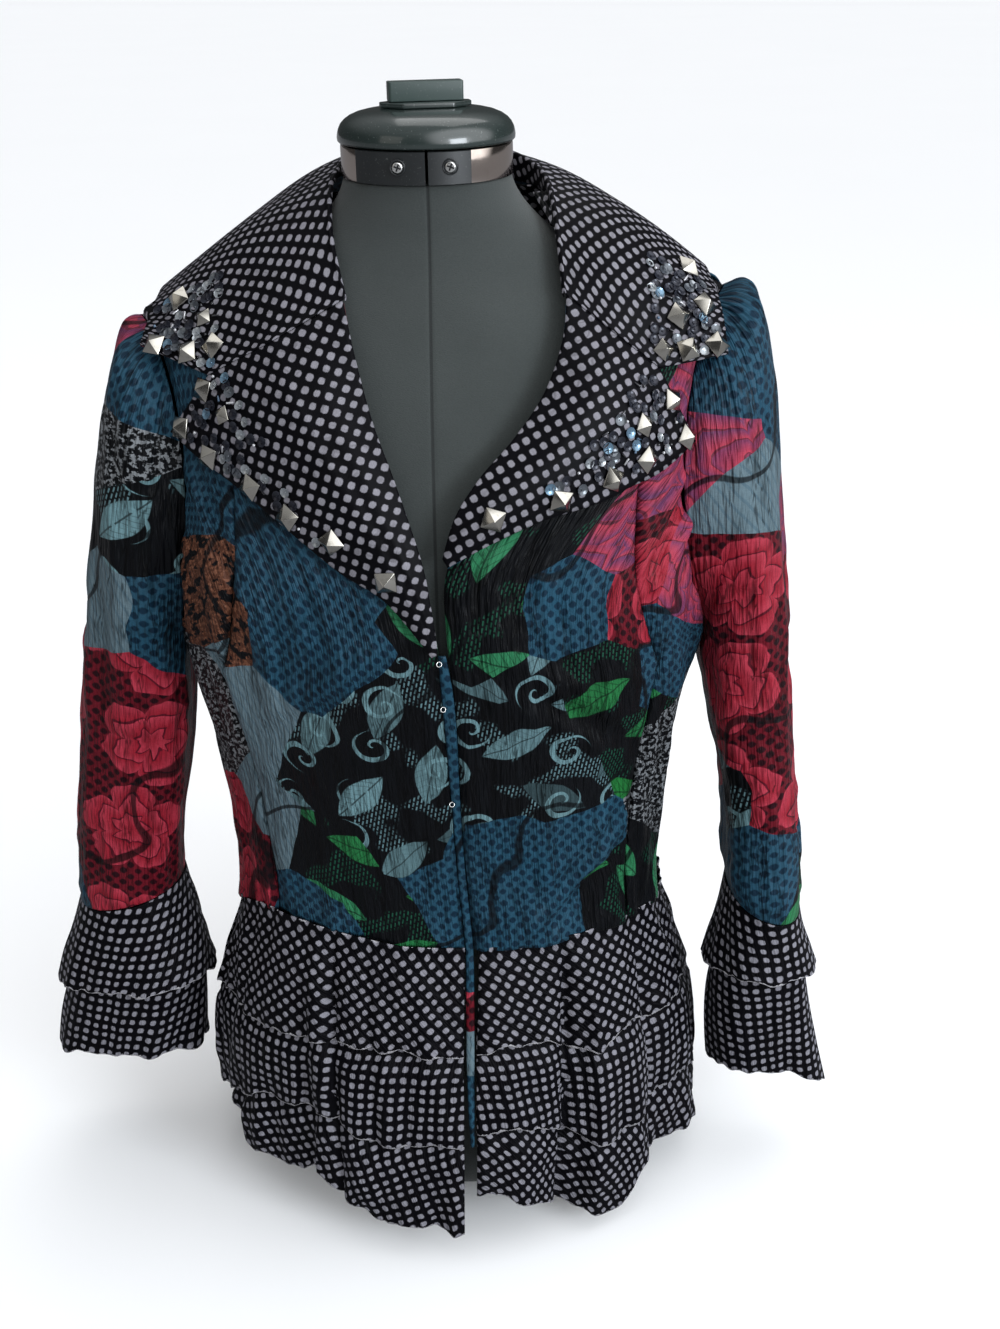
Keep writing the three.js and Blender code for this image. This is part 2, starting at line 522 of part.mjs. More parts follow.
// Peplum: three ruffles, each in a left front, a back and a right front
function peplumPoint(tier, side, angle, k) {
  const seam = lookUp(WAIST_SEAM, 'angle', angle).z - SEAM_GAP;
  const z = mix(TIER_TOP[tier] ?? seam, lookUp(TIER_EDGE[tier][side], 'angle', angle).z, k);
  const shape = lookUp(PEPLUM, 'below', seam - z);
  const deepening = (FOLD_START_HEIGHT - z) / (FOLD_START_HEIGHT - FOLD_FULL_HEIGHT);
  let out = folds(PEPLUM_FOLDS, angle) * Math.min(Math.max(deepening, 0), 1);
  if (tier > 0) {
    const cover = lookUp(TIER_EDGE[tier - 1][side], 'angle', angle).z;
    const hidden = Math.min(Math.max((z - cover + TIER_STEP_OUT) / TIER_STEP_OUT, 0), 1);
    const seated = Math.max(0, 1 - k / TIER_SEAT_SHARE);
    out -= mix(TIER_INSET, TIER_SEAT, seated) * hidden;
  }
  const s = signedPower(Math.sin(radians(angle)), 2 / shape.square);
  const c = signedPower(Math.cos(radians(angle)), 2 / shape.square);
  const deep = c > 0 ? shape.front : shape.back;
  return new THREE.Vector3((shape.half + out) * s, -(deep + out) * c, z);
}

function addPeplum() {
  const names = ['upper', 'middle', 'lower'];
  names.forEach((name, tier) => {
    const ks = [1, 0.75, 0.5, 0.25, ...(tier > 0 ? [TIER_SEAT_SHARE] : []), 0];
    const piece = (label, side, angles) => {
      const grid = ks.map((k) => angles.map((a) => peplumPoint(tier, side(a), wrapAngle(a), k)));
      addPiece(`peplum_${name}_${label}`, clothWall(grid, CLOTH), COLOURS.dots);
    };
    piece('left', () => 'left', spaced(-90 + SIDE_GAP, PEPLUM_OPENING.left, 16));
    piece('right', () => 'right', spaced(PEPLUM_OPENING.right, 90 - SIDE_GAP, 16));
    piece('back', (a) => (a <= 180 ? 'right' : 'left'), spaced(90 + SIDE_GAP, 270 - SIDE_GAP, 28));
  });
}
function wrapAngle(a) {
  return a > 180 ? a - 360 : a;
}

// A line through three points and a tip, bent at the notch
function gorgeLine(side, tip, notchPlace, lift, u) {
  const points = [...GORGE[side], tip].map(([x, y, z]) => new THREE.Vector3(x, y, z + lift));
  if (u < notchPlace / 2) return points[0].lerp(points[1], u / (notchPlace / 2));
  if (u < notchPlace) return points[1].lerp(points[2], (u - notchPlace / 2) / (notchPlace / 2));
  return points[2].lerp(points[3], (u - notchPlace) / (1 - notchPlace));
}

const vector = ({ x, y, z }) => new THREE.Vector3(x, y, z);

// A lapel: u from the fold to the outer edge, v from the gorge to the end of the roll
function lapelPoint(side, u, v) {
  const { fold, edge } = LAPEL[side];
  const point = vector(along(fold, v)).lerp(vector(along(edge, v)), u);
  const tip = [edge[0].x, edge[0].y, edge[0].z];
  const straight = vector(fold[0]).lerp(vector(edge[0]), u);
  const bend = gorgeLine(side, tip, LAPEL_NOTCH_PLACE, 0, u).sub(straight);
  point.addScaledVector(bend, (1 - v) ** 1.6);
  const bulge = Math.sin(Math.PI * u) * Math.min(1, v * 5) * Math.sqrt(1 - v);
  point.y -= LAPEL_BULGE * bulge;
  return point;
}

function addLapel(side) {
  const us = spaced(0, 1, 8);
  const across = side === 'left' ? [...us].reverse() : us;
  const grid = spaced(1, 0, 11).map((v) => across.map((u) => lapelPoint(side, u, v)));
  addPiece(`lapel_${side}`, clothWall(grid, COLLAR_WALL), COLOURS.dots);
}

// The collar's fall: u from the fold to the edge, v from the left front end to the right one
function collarPoint(u, v) {
  const row = along(COLLAR, v);
  const last = COLLAR.length - 1;
  const curve = ({ fx, fy, fz, mx, my, mz, ex, ey, ez }) => {
    const [a, b, c] = [(1 - u) * (1 - 2 * u), 4 * u * (1 - u), u * (2 * u - 1)];
    return new THREE.Vector3(fx * a + mx * b + ex * c, fy * a + my * b + ey * c,
      fz * a + mz * b + ez * c);
  };
  const point = curve(row);
  const ends = [['left', COLLAR[0], v * last], ['right', COLLAR[last], (1 - v) * last]];
  for (const [side, end, away] of ends) {
    if (away < COLLAR_END_REACH) {
      const tip = [end.ex, end.ey, end.ez - COLLAR_ABOVE_LAPEL];
      const bend = gorgeLine(side, tip, COLLAR_NOTCH_PLACE, COLLAR_ABOVE_LAPEL, u).sub(curve(end));
      point.addScaledVector(bend, (1 - away / COLLAR_END_REACH) ** 1.5);
    }
  }
  return point;
}

function addCollar() {
  const vs = spaced(1, 0, 30);
  const grid = vs.map((v) => {
    const { fx, fy, fz, stand } = along(COLLAR, v);
    const outwards = new THREE.Vector3(fx, fy - NECK_MIDDLE_Y, 0).normalize();
    const fold = new THREE.Vector3(fx, fy, fz);
    const inner = fold.clone().addScaledVector(outwards, -COLLAR_TURN);
    const foot = inner.clone().addScaledVector(outwards, 1);
    foot.z -= stand;
    const crown = fold.clone().add(inner).multiplyScalar(0.5);
    crown.z += COLLAR_TURN / 2;
    return [foot, inner, crown, ...spaced(0, 1, 9).map((u) => collarPoint(u, v))];
  });
  addPiece('collar', clothWall(grid, COLLAR_WALL), COLOURS.dots);
}

// A square stud on a surface: a thin plate with a pyramid on it, set along the cloth's normal
function studGeometry(surface, { across, along: place, side, turn }) {
  const step = 0.01;
  const at = surface(across, place);
  const alongAcross = surface(across + step, place).sub(surface(across - step, place)).normalize();
  const alongPiece = surface(across, Math.min(place + step, 1))
    .sub(surface(across, Math.max(place - step, 0))).normalize();
  const normal = alongAcross.clone().cross(alongPiece).normalize();
  if (normal.z < normal.y) normal.negate();
  const right = alongAcross.clone().applyAxisAngle(normal, radians(turn));
  const up = normal.clone().cross(right);
  const corner = (i, height) => at.clone()
    .addScaledVector(right, (side / 2) * (i === 0 || i === 3 ? -1 : 1))
    .addScaledVector(up, (side / 2) * (i < 2 ? -1 : 1))
    .addScaledVector(normal, height);
  const base = [0, 1, 2, 3].map((i) => corner(i, STUD_LIFT));
  const rim = [0, 1, 2, 3].map((i) => corner(i, STUD_LIFT + STUD_PLATE));
  const tip = at.clone().addScaledVector(normal, STUD_LIFT + STUD_PLATE + side * STUD_STEEPNESS);
  const faces = [0, 2, 1, 0, 3, 2];
  for (let i = 0; i < 4; i += 1) {
    const next = (i + 1) % 4;
    faces.push(i, next, next + 4, i, next + 4, i + 4, i + 4, next + 4, 8);
  }
  return solidFrom([...base, ...rim, tip], faces);
}

function addStuds() {
  const surfaces = {
    collar: collarPoint,
    lapel_left: (u, v) => lapelPoint('left', u, v),
    lapel_right: (u, v) => lapelPoint('right', u, v),
  };
  for (const [piece, rows] of Object.entries(STUDS)) {
    rows.forEach((row, i) => addPiece(`stud_${piece}_${i + 1}`, studGeometry(surfaces[piece], row),
      COLOURS.metal, 0.35, 1));
  }
}

// Dress form
function ringAt({ half, front, back }, z, count, power) {
  return Array.from({ length: count }, (_, i) => {
    const angle = (i * 2 * Math.PI) / count;
    const s = signedPower(Math.sin(angle), power);
    const c = signedPower(Math.cos(angle), power);
    return new THREE.Vector3(half * s, -(c > 0 ? front : back) * c, z);
  });
}

function addForm() {
  const rings = FORM.map((row) => ringAt(row, row.z, 24, 2 / FORM_SQUARENESS));
  addPiece('form_torso', ringSolid(rings), COLOURS.form, 0.9);
  for (const side of ['left', 'right']) {
    const sign = signOf(side);
    const splitAngle = (90 * BAND.split) / BAND.half;
    const angles = spaced(splitAngle, 180 - splitAngle, 14).map((a) => sign * a);
    if (side === 'left') angles.reverse();
    const grid = [BAND.bottom, BAND.top].map((z) => angles.map((a) => ovalPoint(BAND, a, z)));
    addPiece(`neck_band_${side}`, clothWall(grid, BAND.wall), COLOURS.chrome, 0.25, 0.8);
    const screw = new THREE.CylinderGeometry(SCREW.radius, SCREW.radius, SCREW.height, 12);
    const bandDepth = BAND.front * Math.sqrt(1 - (SCREW.x / BAND.half) ** 2);
    const place = bandDepth + SCREW.height / 2 + SCREW.clearance;
    screw.translate(sign * SCREW.x, -place, SCREW.z);
    addPiece(`neck_screw_${side}`, screw, COLOURS.metal, 0.3, 1);
  }
  const dome = DOME_PROFILE.map(({ z, share }) => spaced(0, 360, 24).slice(1)
    .map((a) => ovalPoint(DOME, a, z, share)));
  addPiece('neck_dome', ringSolid(dome), COLOURS.plastic, 0.2);
  addPiece('neck_knob_plate', plate(KNOB_PLATE), COLOURS.plastic, 0.3);
  addPiece('neck_knob', plate(KNOB), COLOURS.plastic, 0.4);
}

function ovalPoint({ half, front, back }, angle, z, share = 1) {
  const c = Math.cos(radians(angle));
  return new THREE.Vector3(share * half * Math.sin(radians(angle)),
    -share * (c > 0 ? front : back) * c, z);
}

// A flat plate with cut corners, turned about the upright axis
function plate({ width, depth, corner, height, bottom }) {
  const [w, d, c] = [width / 2, depth / 2, corner];
  const outline = new THREE.Shape([[w - c, -d], [w, -d + c], [w, d - c], [w - c, d], [c - w, d],
    [-w, d - c], [-w, c - d], [c - w, -d]].map(([x, y]) => new THREE.Vector2(x, y)));
  const geometry = new THREE.ExtrudeGeometry(outline, { depth: height, bevelEnabled: false });
  geometry.rotateZ(radians(KNOB_TURN));
  geometry.translate(0, 0, bottom);
  return geometry;
}

addForm();
addBodice();
addStrip();
for (const side of ['left', 'right']) {
  addSleeve(side);
  addCuffs(side);
  addLapel(side);
}
addCollar();
addPeplum();
addStuds();

export default jacket;
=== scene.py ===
"""Looks of the embellished jacket on its dress form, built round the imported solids.

The tables are in millimetres with +Z up, and the jacket faces -Y. Left and right are as seen from
the front. Every cloth piece is a fine grid on the form of its solid, with its folds laid in.
"""
import math
import bmesh
import bpy
import numpy as np
from mathutils import Matrix, Vector


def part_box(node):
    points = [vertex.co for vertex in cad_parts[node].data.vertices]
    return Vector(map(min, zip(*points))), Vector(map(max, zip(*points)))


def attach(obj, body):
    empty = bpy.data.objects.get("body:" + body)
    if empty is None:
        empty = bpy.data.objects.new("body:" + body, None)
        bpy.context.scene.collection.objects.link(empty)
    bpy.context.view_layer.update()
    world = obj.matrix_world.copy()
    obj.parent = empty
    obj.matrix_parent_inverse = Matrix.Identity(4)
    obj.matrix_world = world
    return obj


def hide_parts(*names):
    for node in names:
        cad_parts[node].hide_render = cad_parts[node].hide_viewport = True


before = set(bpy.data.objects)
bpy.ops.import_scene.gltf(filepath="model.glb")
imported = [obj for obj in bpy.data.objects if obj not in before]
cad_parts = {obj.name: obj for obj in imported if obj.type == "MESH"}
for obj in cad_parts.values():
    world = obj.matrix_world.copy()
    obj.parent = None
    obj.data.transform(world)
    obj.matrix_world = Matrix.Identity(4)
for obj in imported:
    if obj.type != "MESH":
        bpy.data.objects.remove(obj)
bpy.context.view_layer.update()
MM = 0.001


def neighbours(rows, i):
    """The rows before, at and after a step of the table, where the ends repeat."""
    return (rows[np.clip(i + step, 0, len(rows) - 1)] for step in (-1, 0, 1, 2))


def smooth_rows(rows, share):
    """Rows of an array, read smoothly at a share of the way down it."""
    last = len(rows) - 1
    s = np.clip(np.asarray(share, float), 0, 1) * last
    i = np.minimum(np.floor(s), last - 1).astype(int)
    f = (s - i).reshape(s.shape + (1,) * (rows.ndim - 1))
    a, b, c, d = neighbours(rows, i)
    return 0.5 * (2 * b + (c - a) * f + (2 * a - 5 * b + 4 * c - d) * f ** 2
                  + (-a + 3 * b - 3 * c + d) * f ** 3)


class Table:
    """Named columns of numbers, read smoothly between their rows. A slash parts two rows."""

    def __init__(self, columns, rows):
        self.names = columns.split()
        self.rows = np.array([row.split() for row in rows.split('/')], float)

    def named(self, values):
        return dict(zip(self.names, np.moveaxis(values, -1, 0)))

    def along(self, share):
        """Every column at a share of the way down the table."""
        return self.named(smooth_rows(self.rows, share))

    def at(self, value):
        """Every column where the first column has a given value."""
        keys = self.rows[:, 0]
        v = np.clip(np.asarray(value, float), keys[0], keys[-1])
        i = np.clip(np.searchsorted(keys, v) - 1, 0, len(keys) - 2)
        a, b, c, d = neighbours(self.rows, i)
        span = (c - b)[..., :1]
        f = (v[..., None] - b[..., :1]) / span
        ease = f * f * (3 - 2 * f)
        slope_in = (c - a) / (c - a)[..., :1] * span
        slope_out = (d - b) / (d - b)[..., :1] * span
        return self.named(b * (1 - ease) + c * ease + slope_in * f * (1 - f) ** 2
                          - slope_out * f * f * (1 - f))


# Driving dimensions, the same as the solids'
SEAM_GAP = 0.4  # left between two pieces that are sewn together
SHOULDER_GAP = 0.9  # half the gap of the sloping shoulder seam, at its outer face
ARMPIT_HEIGHT = 431  # lowest point of the armholes
BODY_SQUARENESS = 2.3  # 2 is an ellipse, more is squarer
FORM_SQUARENESS = 2.15
SLEEVE_SQUARENESS = 2.2
SHOULDER_LIFT = {'left': -6, 'right': 6}  # the right shoulder sits a little higher
ARMHOLE_GAP = 0.9  # from the bodice to the sleeve's first ring
UNDERARM_GAP = 1.6  # added to it under the arm
PRINCESS_SEAM = 0.56  # place of the seam across each front, 0 edge to 1 side
STRIP_ROUND = 0.8  # how far the middle of the facing strip stands out
STUD_STEEPNESS = 0.42  # a stud's pyramid height as a share of its side
STUD_LIFT = 0.7  # from the cloth's face to a stud's flat back, at its middle

# The jacket's body below the armpits: height, half width, depth in front, depth behind
BODY = Table('z half front back', '''
  226 148 105 92 / 265 146 104 90 / 300 148 107 90 / 345 152 112 94 / 390 161 119 98 / 431 169 126 102''')
# Height of the waist seam by the angle round the body, 0 in front, 90 at the right side
WAIST_SEAM = Table('angle z', '''
  -180 232 / -90 222 / -50 245 / 0 233 / 45 233 / 90 226 / 180 232''')
# The narrow facing strip that shows between the two fronts: height, left and right edge, depth
STRIP = Table('z left right depth', '''
  95 12.5 15 137 / 120 11.5 15.5 131.4 / 160 11 16.3 122.5 / 200 11.5 17 113.6 / 234 12 17 105.2 /
  260 10.3 15.4 104.1 / 300 8 13 107 / 350 6 11.5 112.7 / 400 4 11 120.6 / 431 2.5 9.5 126 /
  458 1.5 6 129.5''')
# Edge of each front from the armpit's height up the roll line to the neck point
ROLL = {
  'left': Table('x y z', '''
    2 -126 431 / 1 -129.5 465 / -9 -127.5 516 / -26 -115 562 / -39 -101 594 / -49 -83 630 / -55 -66 656 /
    -62 -40 682 / -63 12 703'''),
  'right': Table('x y z', '''
    10 -126 431 / 7 -129.5 470 / 9 -126.5 512 / 36 -113 560 / 64 -95 594 / 84 -75 628 / 87 -56 652 /
    80 -36 676 / 63 12 702'''),
}
BACK_MIDDLE = Table('x y z', '''
  0 102 431 / 0 106 480 / 0 106 540 / 0 98 600 / 0 85 650 / 0 72 685 / 0 63.4 701''')
# Armhole from the armpit to the shoulder point, front half and back half
ARMHOLE = {
  'front': Table('x y z', '''
    169 0 431 / 163 -38 452 / 154 -55 500 / 151 -56 550 / 156 -45 598 / 168 -22 630 / 179 0 640'''),
  'back': Table('x y z', '''
    169 0 431 / 164 38 452 / 156 56 500 / 153 58 550 / 158 48 598 / 169 24 630 / 179 0 640'''),
}
# Shoulder seam from the neck point outwards, and the back neckline from the middle to it
SHOULDER_SEAM = Table('x y z', '''
  63 12 703 / 84 8 694 / 110 4 681 / 138 2 665 / 162 0 650 / 179 0 640''')
BACK_TOP = Table('x y z', '''
  0 63.4 701 / 34 57 701 / 60 36 700 / 84 12 692 / 110 5 680 / 138 2 664 / 160 0 651 / 179 0 640''')
# Sleeve rings: outer point, inner point, depth in front and behind
SLEEVE = {
  'left': Table('ox oz ix iz front back', '''
    190 628 170.5 424 -60 56 / 201 596 171 414 -60 56 / 211 550 171.5 403 -58 54 /
    221 500 172 390 -54 50 / 232 446 173 372 -50 46 / 241 392 176 345 -46 42 / 247 345 181 318 -43 39 /
    254 300 187 290 -41 37 / 262 250 191 258 -41 37 / 266 222 192 236 -42 38'''),
  'right': Table('ox oz ix iz front back', '''
    196 644 170.5 424 -60 56 / 206 606 171 414 -60 56 / 213 560 172 403 -60 54 / 219 510 174 390 -60 50 /
    225 450 178 372 -60 42 / 229 396 184 345 -62 36 / 233 345 190 318 -65 31 / 237 300 193 290 -68 27 /
    242 250 194 258 -72 22 / 245 222 195 236 -75 20'''),
}
# Cuff ruffles, upper and lower tier: as the sleeve rings, and how far the front is raised
CUFF = {
  'left': [
    Table('ox oz ix iz front back rise', '''
      266.5 221 191.5 235 -42.5 38.5 0 / 274 200 187 212 -46 42 3 / 284 176 180 182 -49 44 6 /
      291 153 174 155 -51 46 8'''),
    Table('ox oz ix iz front back rise', '''
      264.5 219.6 193.4 233.4 -40.6 36.6 0 / 269 190 190 194 -41 37 6 / 279 162 183.5 165 -44 40 8 /
      290 128 184 128 -46 42 10 / 297 96 184 93 -48 44 12'''),
  ],
  'right': [
    Table('ox oz ix iz front back rise', '''
      245.5 221 194.5 235 -75.5 20.5 0 / 249 203 190 213 -76 19 4 / 255 186 184 193 -77 17 8 /
      260 170 178 174 -78 15 10'''),
    Table('ox oz ix iz front back rise', '''
      243.5 219.6 196.4 233.4 -73.6 18.6 0 / 246 196 192 200 -71 12 8 / 253 165 186 166 -69 9 10 /
      262 118 182 124 -67 7 14 / 274 66 183 86 -66 6 18'''),
  ],
}
CUFF_WAVES = Table('angle width depth', '''
  0 22 -2 / 40 20 3 / 80 18 -3 / 118 20 3.5 / 180 24 -3 / 232 20 3.5 / 272 18 -3 / 318 20 3''')
CUFF_WAVE_SPREAD = 100  # a wave's depth is for a ruffle of this width at its lower edge
# Outer shape of the peplum by the distance below the waist seam
PEPLUM = Table('below half front back square', '''
  0 148.2 105.6 92 2.3 / 35 160 117 104 2.15 / 75 172 128 117 2 / 115 178 136 126 1.93 /
  155 179.5 141 131 1.88 / 195 180 146 135 1.82 / 225 178 148 136 1.8''')
TIER_TOP = [None, 188, 128]  # height of the hidden top of the middle and the lower tier
TIER_INSET = 5.5  # a covered tier lies this far inside the one above
TIER_SEAT = 2.6  # and this far at its top, where it is sewn on
TIER_SEAT_SHARE = 0.12  # share of a tier's height that runs up to that seam
TIER_STEP_OUT = 16  # and comes out to the full shape over this height
# Height of each tier's edge by the angle round the body, for the left and the right half
TIER_EDGE = [
  {
    'left': Table('angle z', '''
      -180 152 / -130 154 / -90 150 / -70 158 / -48 162 / -20 166 / 4 162'''),
    'right': Table('angle z', '''
      4 162 / 20 165 / 34 154 / 46 160 / 60 152 / 75 157 / 90 150 / 130 154 / 180 152'''),
 },
  {
    'left': Table('angle z', '''
      -180 84 / -130 82 / -90 60 / -80 64 / -62 88 / -48 103 / -28 106 / -20 97 / 4 96'''),
    'right': Table('angle z', '''
      4 104 / 14 108 / 20 102 / 34 82 / 46 84 / 65 89 / 85 77 / 130 84 / 180 84'''),
 },
  {
    'left': Table('angle z', '''
      -180 38 / -130 32 / -90 50 / -70 68 / -55 52 / -40 50 / -34 57 / -28 50 / -20 33 / 4 27'''),
    'right': Table('angle z', '''
      4 56 / 14 54 / 28 30 / 40 16 / 48 39 / 66 40 / 84 27 / 90 24 / 130 34 / 180 38'''),
 },
]
# Upright folds of the peplum, the same in all three tiers so that they nest
PEPLUM_FOLDS = Table('angle width depth', '''
  -166 9 6 / -147 9 -6 / -124 9 7 / -104 8 -5 / -84 7 1 / -68 7 -5 / -53 8 4 / -38 7 -8 / -25 7 5 /
  -10 7 -2 / 13 8 3 / 30 6 -6 / 43 8 8 / 58 7 -5 / 71 7 5 / 84 6 -3 / 104 8 6 / 127 9 -6 / 149 9 7 /
  170 9 -5''')
FOLD_START_HEIGHT = 225  # the folds die out at this height
FOLD_FULL_HEIGHT = 60  # and have their full depth at this one
PEPLUM_OPENING = {'left': 3, 'right': 6}  # angles of the two front edges
SIDE_GAP = 0.15  # half the gap of a peplum's side seam, in degrees

# Collar and lapels. The gorge is the line where they meet: fold, middle, notch
GORGE = {
  'left': [[-48, -71, 655], [-90, -83, 634], [-130, -69, 612]],
  'right': [[80, -64, 654], [109, -71, 632], [135, -68, 611]],
}
LAPEL = {
  'left': {
    'fold': Table('x y z', '''
      -48 -71 655 / -42 -89 630 / -32 -107 594 / -20 -120 562 / -6 -131.5 518 / -1 -134.5 488 /
      2 -134.5 460'''),
    'edge': Table('x y z', '''
      -157 -59 576 / -138 -78 565 / -117 -95 555 / -85 -116 534 / -54 -129 511 / -27 -134 493 /
      -2 -136 459'''),
 },
  'right': {
    'fold': Table('x y z', '''
      80 -64 654 / 77 -80 632 / 66 -97 606 / 48 -110 583 / 29 -120 564 / 14 -128 543 / 6 -132 519'''),
    'edge': Table('x y z', '''
      158 -61 565 / 136 -84 554 / 116 -98 549 / 98 -110 544 / 62 -123 537 / 31 -130 525 / 9 -133 514'''),
 },
}
LAPEL_NOTCH_PLACE = 0.75  # share of the lapel's top edge that is the gorge
LAPEL_BULGE = 9
# Collar sections from the left front end round the neck: fold, middle, edge, stand height
COLLAR = Table('fx fy fz mx my mz ex ey ez stand', '''
  -48 -71 655.6 -90 -83 634.6 -174 -39 624 2 / -56.5 -45 685 -108 -51 656 -171 -29 634 2 /
  -59 -14 708 -112 -21 680 -167 -12 646 2.5 / -56 14 717 -108 6 691 -161 8 652 5 /
  -50 40 722 -98 44 694 -140 56 642 13 / -30 60 724 -58 82 694 -82 104 640 19 /
  2 67 725 4 92 694 4 112 636 20 / 36 62 723 66 84 694 88 104 642 19 /
  60 44 717 102 46 698 142 56 648 14 / 72 18 710 114 10 696 164 4 660 9 /
  76 -12 700 118 -20 684 171 -14 650 5 / 78 -40 680 118 -52 658 175 -32 636 2.5 /
  80 -64 654.6 109 -71 632.6 177 -50 615 2''')
COLLAR_TURN = 3.4  # width of the fold, from the stand's face to the fall's face
COLLAR_NOTCH_PLACE = 0.667
COLLAR_ABOVE_LAPEL = 0.6  # height between the collar's end and the lapel's top edge
COLLAR_END_REACH = 1.5  # sections over which the collar's end bends to that line
NECK_MIDDLE_Y = 8
# Studs on each piece: place across and along it, side length, turn in degrees
STUDS = {
  'collar': Table('across along side turn', '''
    0.83 0.12 12 20 / 0.68 0.075 9 10 / 0.93 0.022 12 5 / 0.77 0.025 12 25 / 0.64 0.037 12 35 /
    0.85 0.843 12 15 / 0.9 0.91 12 40 / 0.75 0.935 12 60 / 0.945 0.975 12 30 / 0.8 0.978 12 10 /
    0.68 0.975 10 45'''),
  'lapel_left': Table('across along side turn', '''
    0.79 0.03 12 30 / 0.955 0.045 12 40 / 0.778 0.142 9 70 / 0.96 0.2 12 35 / 0.935 0.375 12 25 /
    0.91 0.483 12 20 / 0.778 0.583 12 10 / 0.535 0.717 12 5'''),
  'lapel_right': Table('across along side turn', '''
    0.84 0.025 12 50 / 0.805 0.158 11 30 / 0.965 0.04 12 25 / 0.92 0.208 12 10 / 0.9 0.392 12 30 /
    0.855 0.583 12 35 / 0.6 0.75 12 20'''),
}

# Dress form: height, half width, depth in front and behind
FORM = Table('z half front back', '''
  0 112 58 66 / 6 128 72 80 / 20 146 86 94 / 45 153 97 102 / 80 154 101 103 / 140 147 98 92 /
  200 138 92 82 / 240 134 90 80 / 300 136 96 81 / 350 141 102 86 / 400 149 111 91 / 440 157 117 95 /
  500 155 118 97 / 550 148 108 95 / 590 143 95 89 / 620 135 81 79 / 645 118 68 68 / 662 100 56.5 60 /
  675 83 51.5 56 / 686 69.5 49.5 53 / 697 59 49.5 51 / 706 53 49.5 49 / 714 50 50 47''')
BAND = {'front': 53, 'back': 49, 'split': 0.8}
DOME_HALF = 52.5
KNOB_PLATE = {'width': 54, 'depth': 30, 'corner': 12, 'height': 3, 'bottom': 752.8}
KNOB = {'width': 44, 'depth': 13, 'corner': 1, 'height': 11, 'bottom': 756.1}
KNOB_TURN = 10  # degrees that the knob stands turned


# Shapes of the solids, on arrays of places
def sign_of(side):
    return -1 if side == 'left' else 1


def signed_power(value, power):
    return np.sign(value) * np.abs(value) ** power


def point(x, y, z):
    return np.stack(np.broadcast_arrays(x, y, z), -1)


def xyz(columns, prefix=''):
    return point(*(columns[prefix + axis] for axis in 'xyz'))


def lay_folds(table, angle):
    total = 0
    for middle, width, depth in table.rows:
        away = (angle - middle + 180) % 360 - 180
        total = total + depth * np.exp(-((away / width) ** 2))
    return total


def quarter_section(middle, side, u, roundness):
    angle = u * np.pi / 2
    power = 2 / BODY_SQUARENESS
    x = u + (np.sin(angle) ** power - u) * roundness
    y = u + (1 - np.clip(np.cos(angle), 0, 1) ** power - u) * roundness
    share = np.stack(np.broadcast_arrays(x, y, u), -1)
    return middle + (side - middle) * share


def bodice_point(side, face, u, v):
    """u from the middle to the side, v 0 waist, 1 armpit, 2 shoulder."""
    u, v = np.broadcast_arrays(np.asarray(u, float), np.asarray(v, float))
    sign = sign_of(side)
    front = face == 'front'
    angle = sign * (90 * u if front else 180 - 90 * u)
    seam = WAIST_SEAM.at(angle)['z'] + SEAM_GAP
    z = seam + (ARMPIT_HEIGHT - seam) * np.clip(v, 0, 1)
    ring, strip = BODY.at(z), STRIP.at(z)
    edge = strip['left'] - SEAM_GAP if side == 'left' else strip['right'] + SEAM_GAP
    middle = point(edge, -ring['front'], z) if front else point(0 * z, ring['back'], z)
    low = quarter_section(middle, point(sign * ring['half'], 0, z), u, 1)
    w = np.clip(v - 1, 0, 1)
    middle = xyz((ROLL[side] if front else BACK_MIDDLE).along(w))
    hole = ARMHOLE[face].along(w)
    outer = point(sign * hole['x'], hole['y'], hole['z'] + SHOULDER_LIFT[side] * w * w)
    high = quarter_section(middle, outer, u, (1 - w) ** 0.8)
    line = SHOULDER_SEAM if front else BACK_TOP
    top, neck, tip = xyz(line.along(u)), xyz(line.along(0)), xyz(SHOULDER_SEAM.along(1))
    pull = (top - (neck + (tip - neck) * u[..., None])) * (w ** 2.5)[..., None]
    high = high + pull * np.array([sign, 1, 1])
    high[..., 1] += (-1 if front else 1) * SHOULDER_GAP * w ** 8
    return np.where((v <= 1)[..., None], low, high)


def sleeve_point(side, k, angle):
    """k from the armhole to the wrist, angle 0 outer point, 90 front, 180 under the arm."""
    turned = np.asarray(angle, float) % 360
    w = 1 - np.abs((turned + 180) % 360 - 180) / 180
    front, back = ARMHOLE['front'].along(w), ARMHOLE['back'].along(w)
    hole = {name: np.where(turned <= 180, front[name], back[name]) for name in 'xyz'}
    rings = [point(hole['x'] + ARMHOLE_GAP + UNDERARM_GAP * (1 - w) ** 2, hole['y'],
                   hole['z'] + SHOULDER_LIFT[side] * w * w)]
    c = signed_power(np.cos(np.radians(turned)), 2 / SLEEVE_SQUARENESS)
    s = signed_power(np.sin(np.radians(turned)), 2 / SLEEVE_SQUARENESS)
    for ox, oz, ix, iz, near, far in SLEEVE[side].rows:
        rings.append(point((ox + ix) / 2 + (ox - ix) / 2 * c, (near + far) / 2 - (far - near) / 2 * s,
                           (oz + iz) / 2 + (oz - iz) / 2 * c))
    out = smooth_rows(np.array(rings), k) * np.array([sign_of(side), 1, 1])
    return out


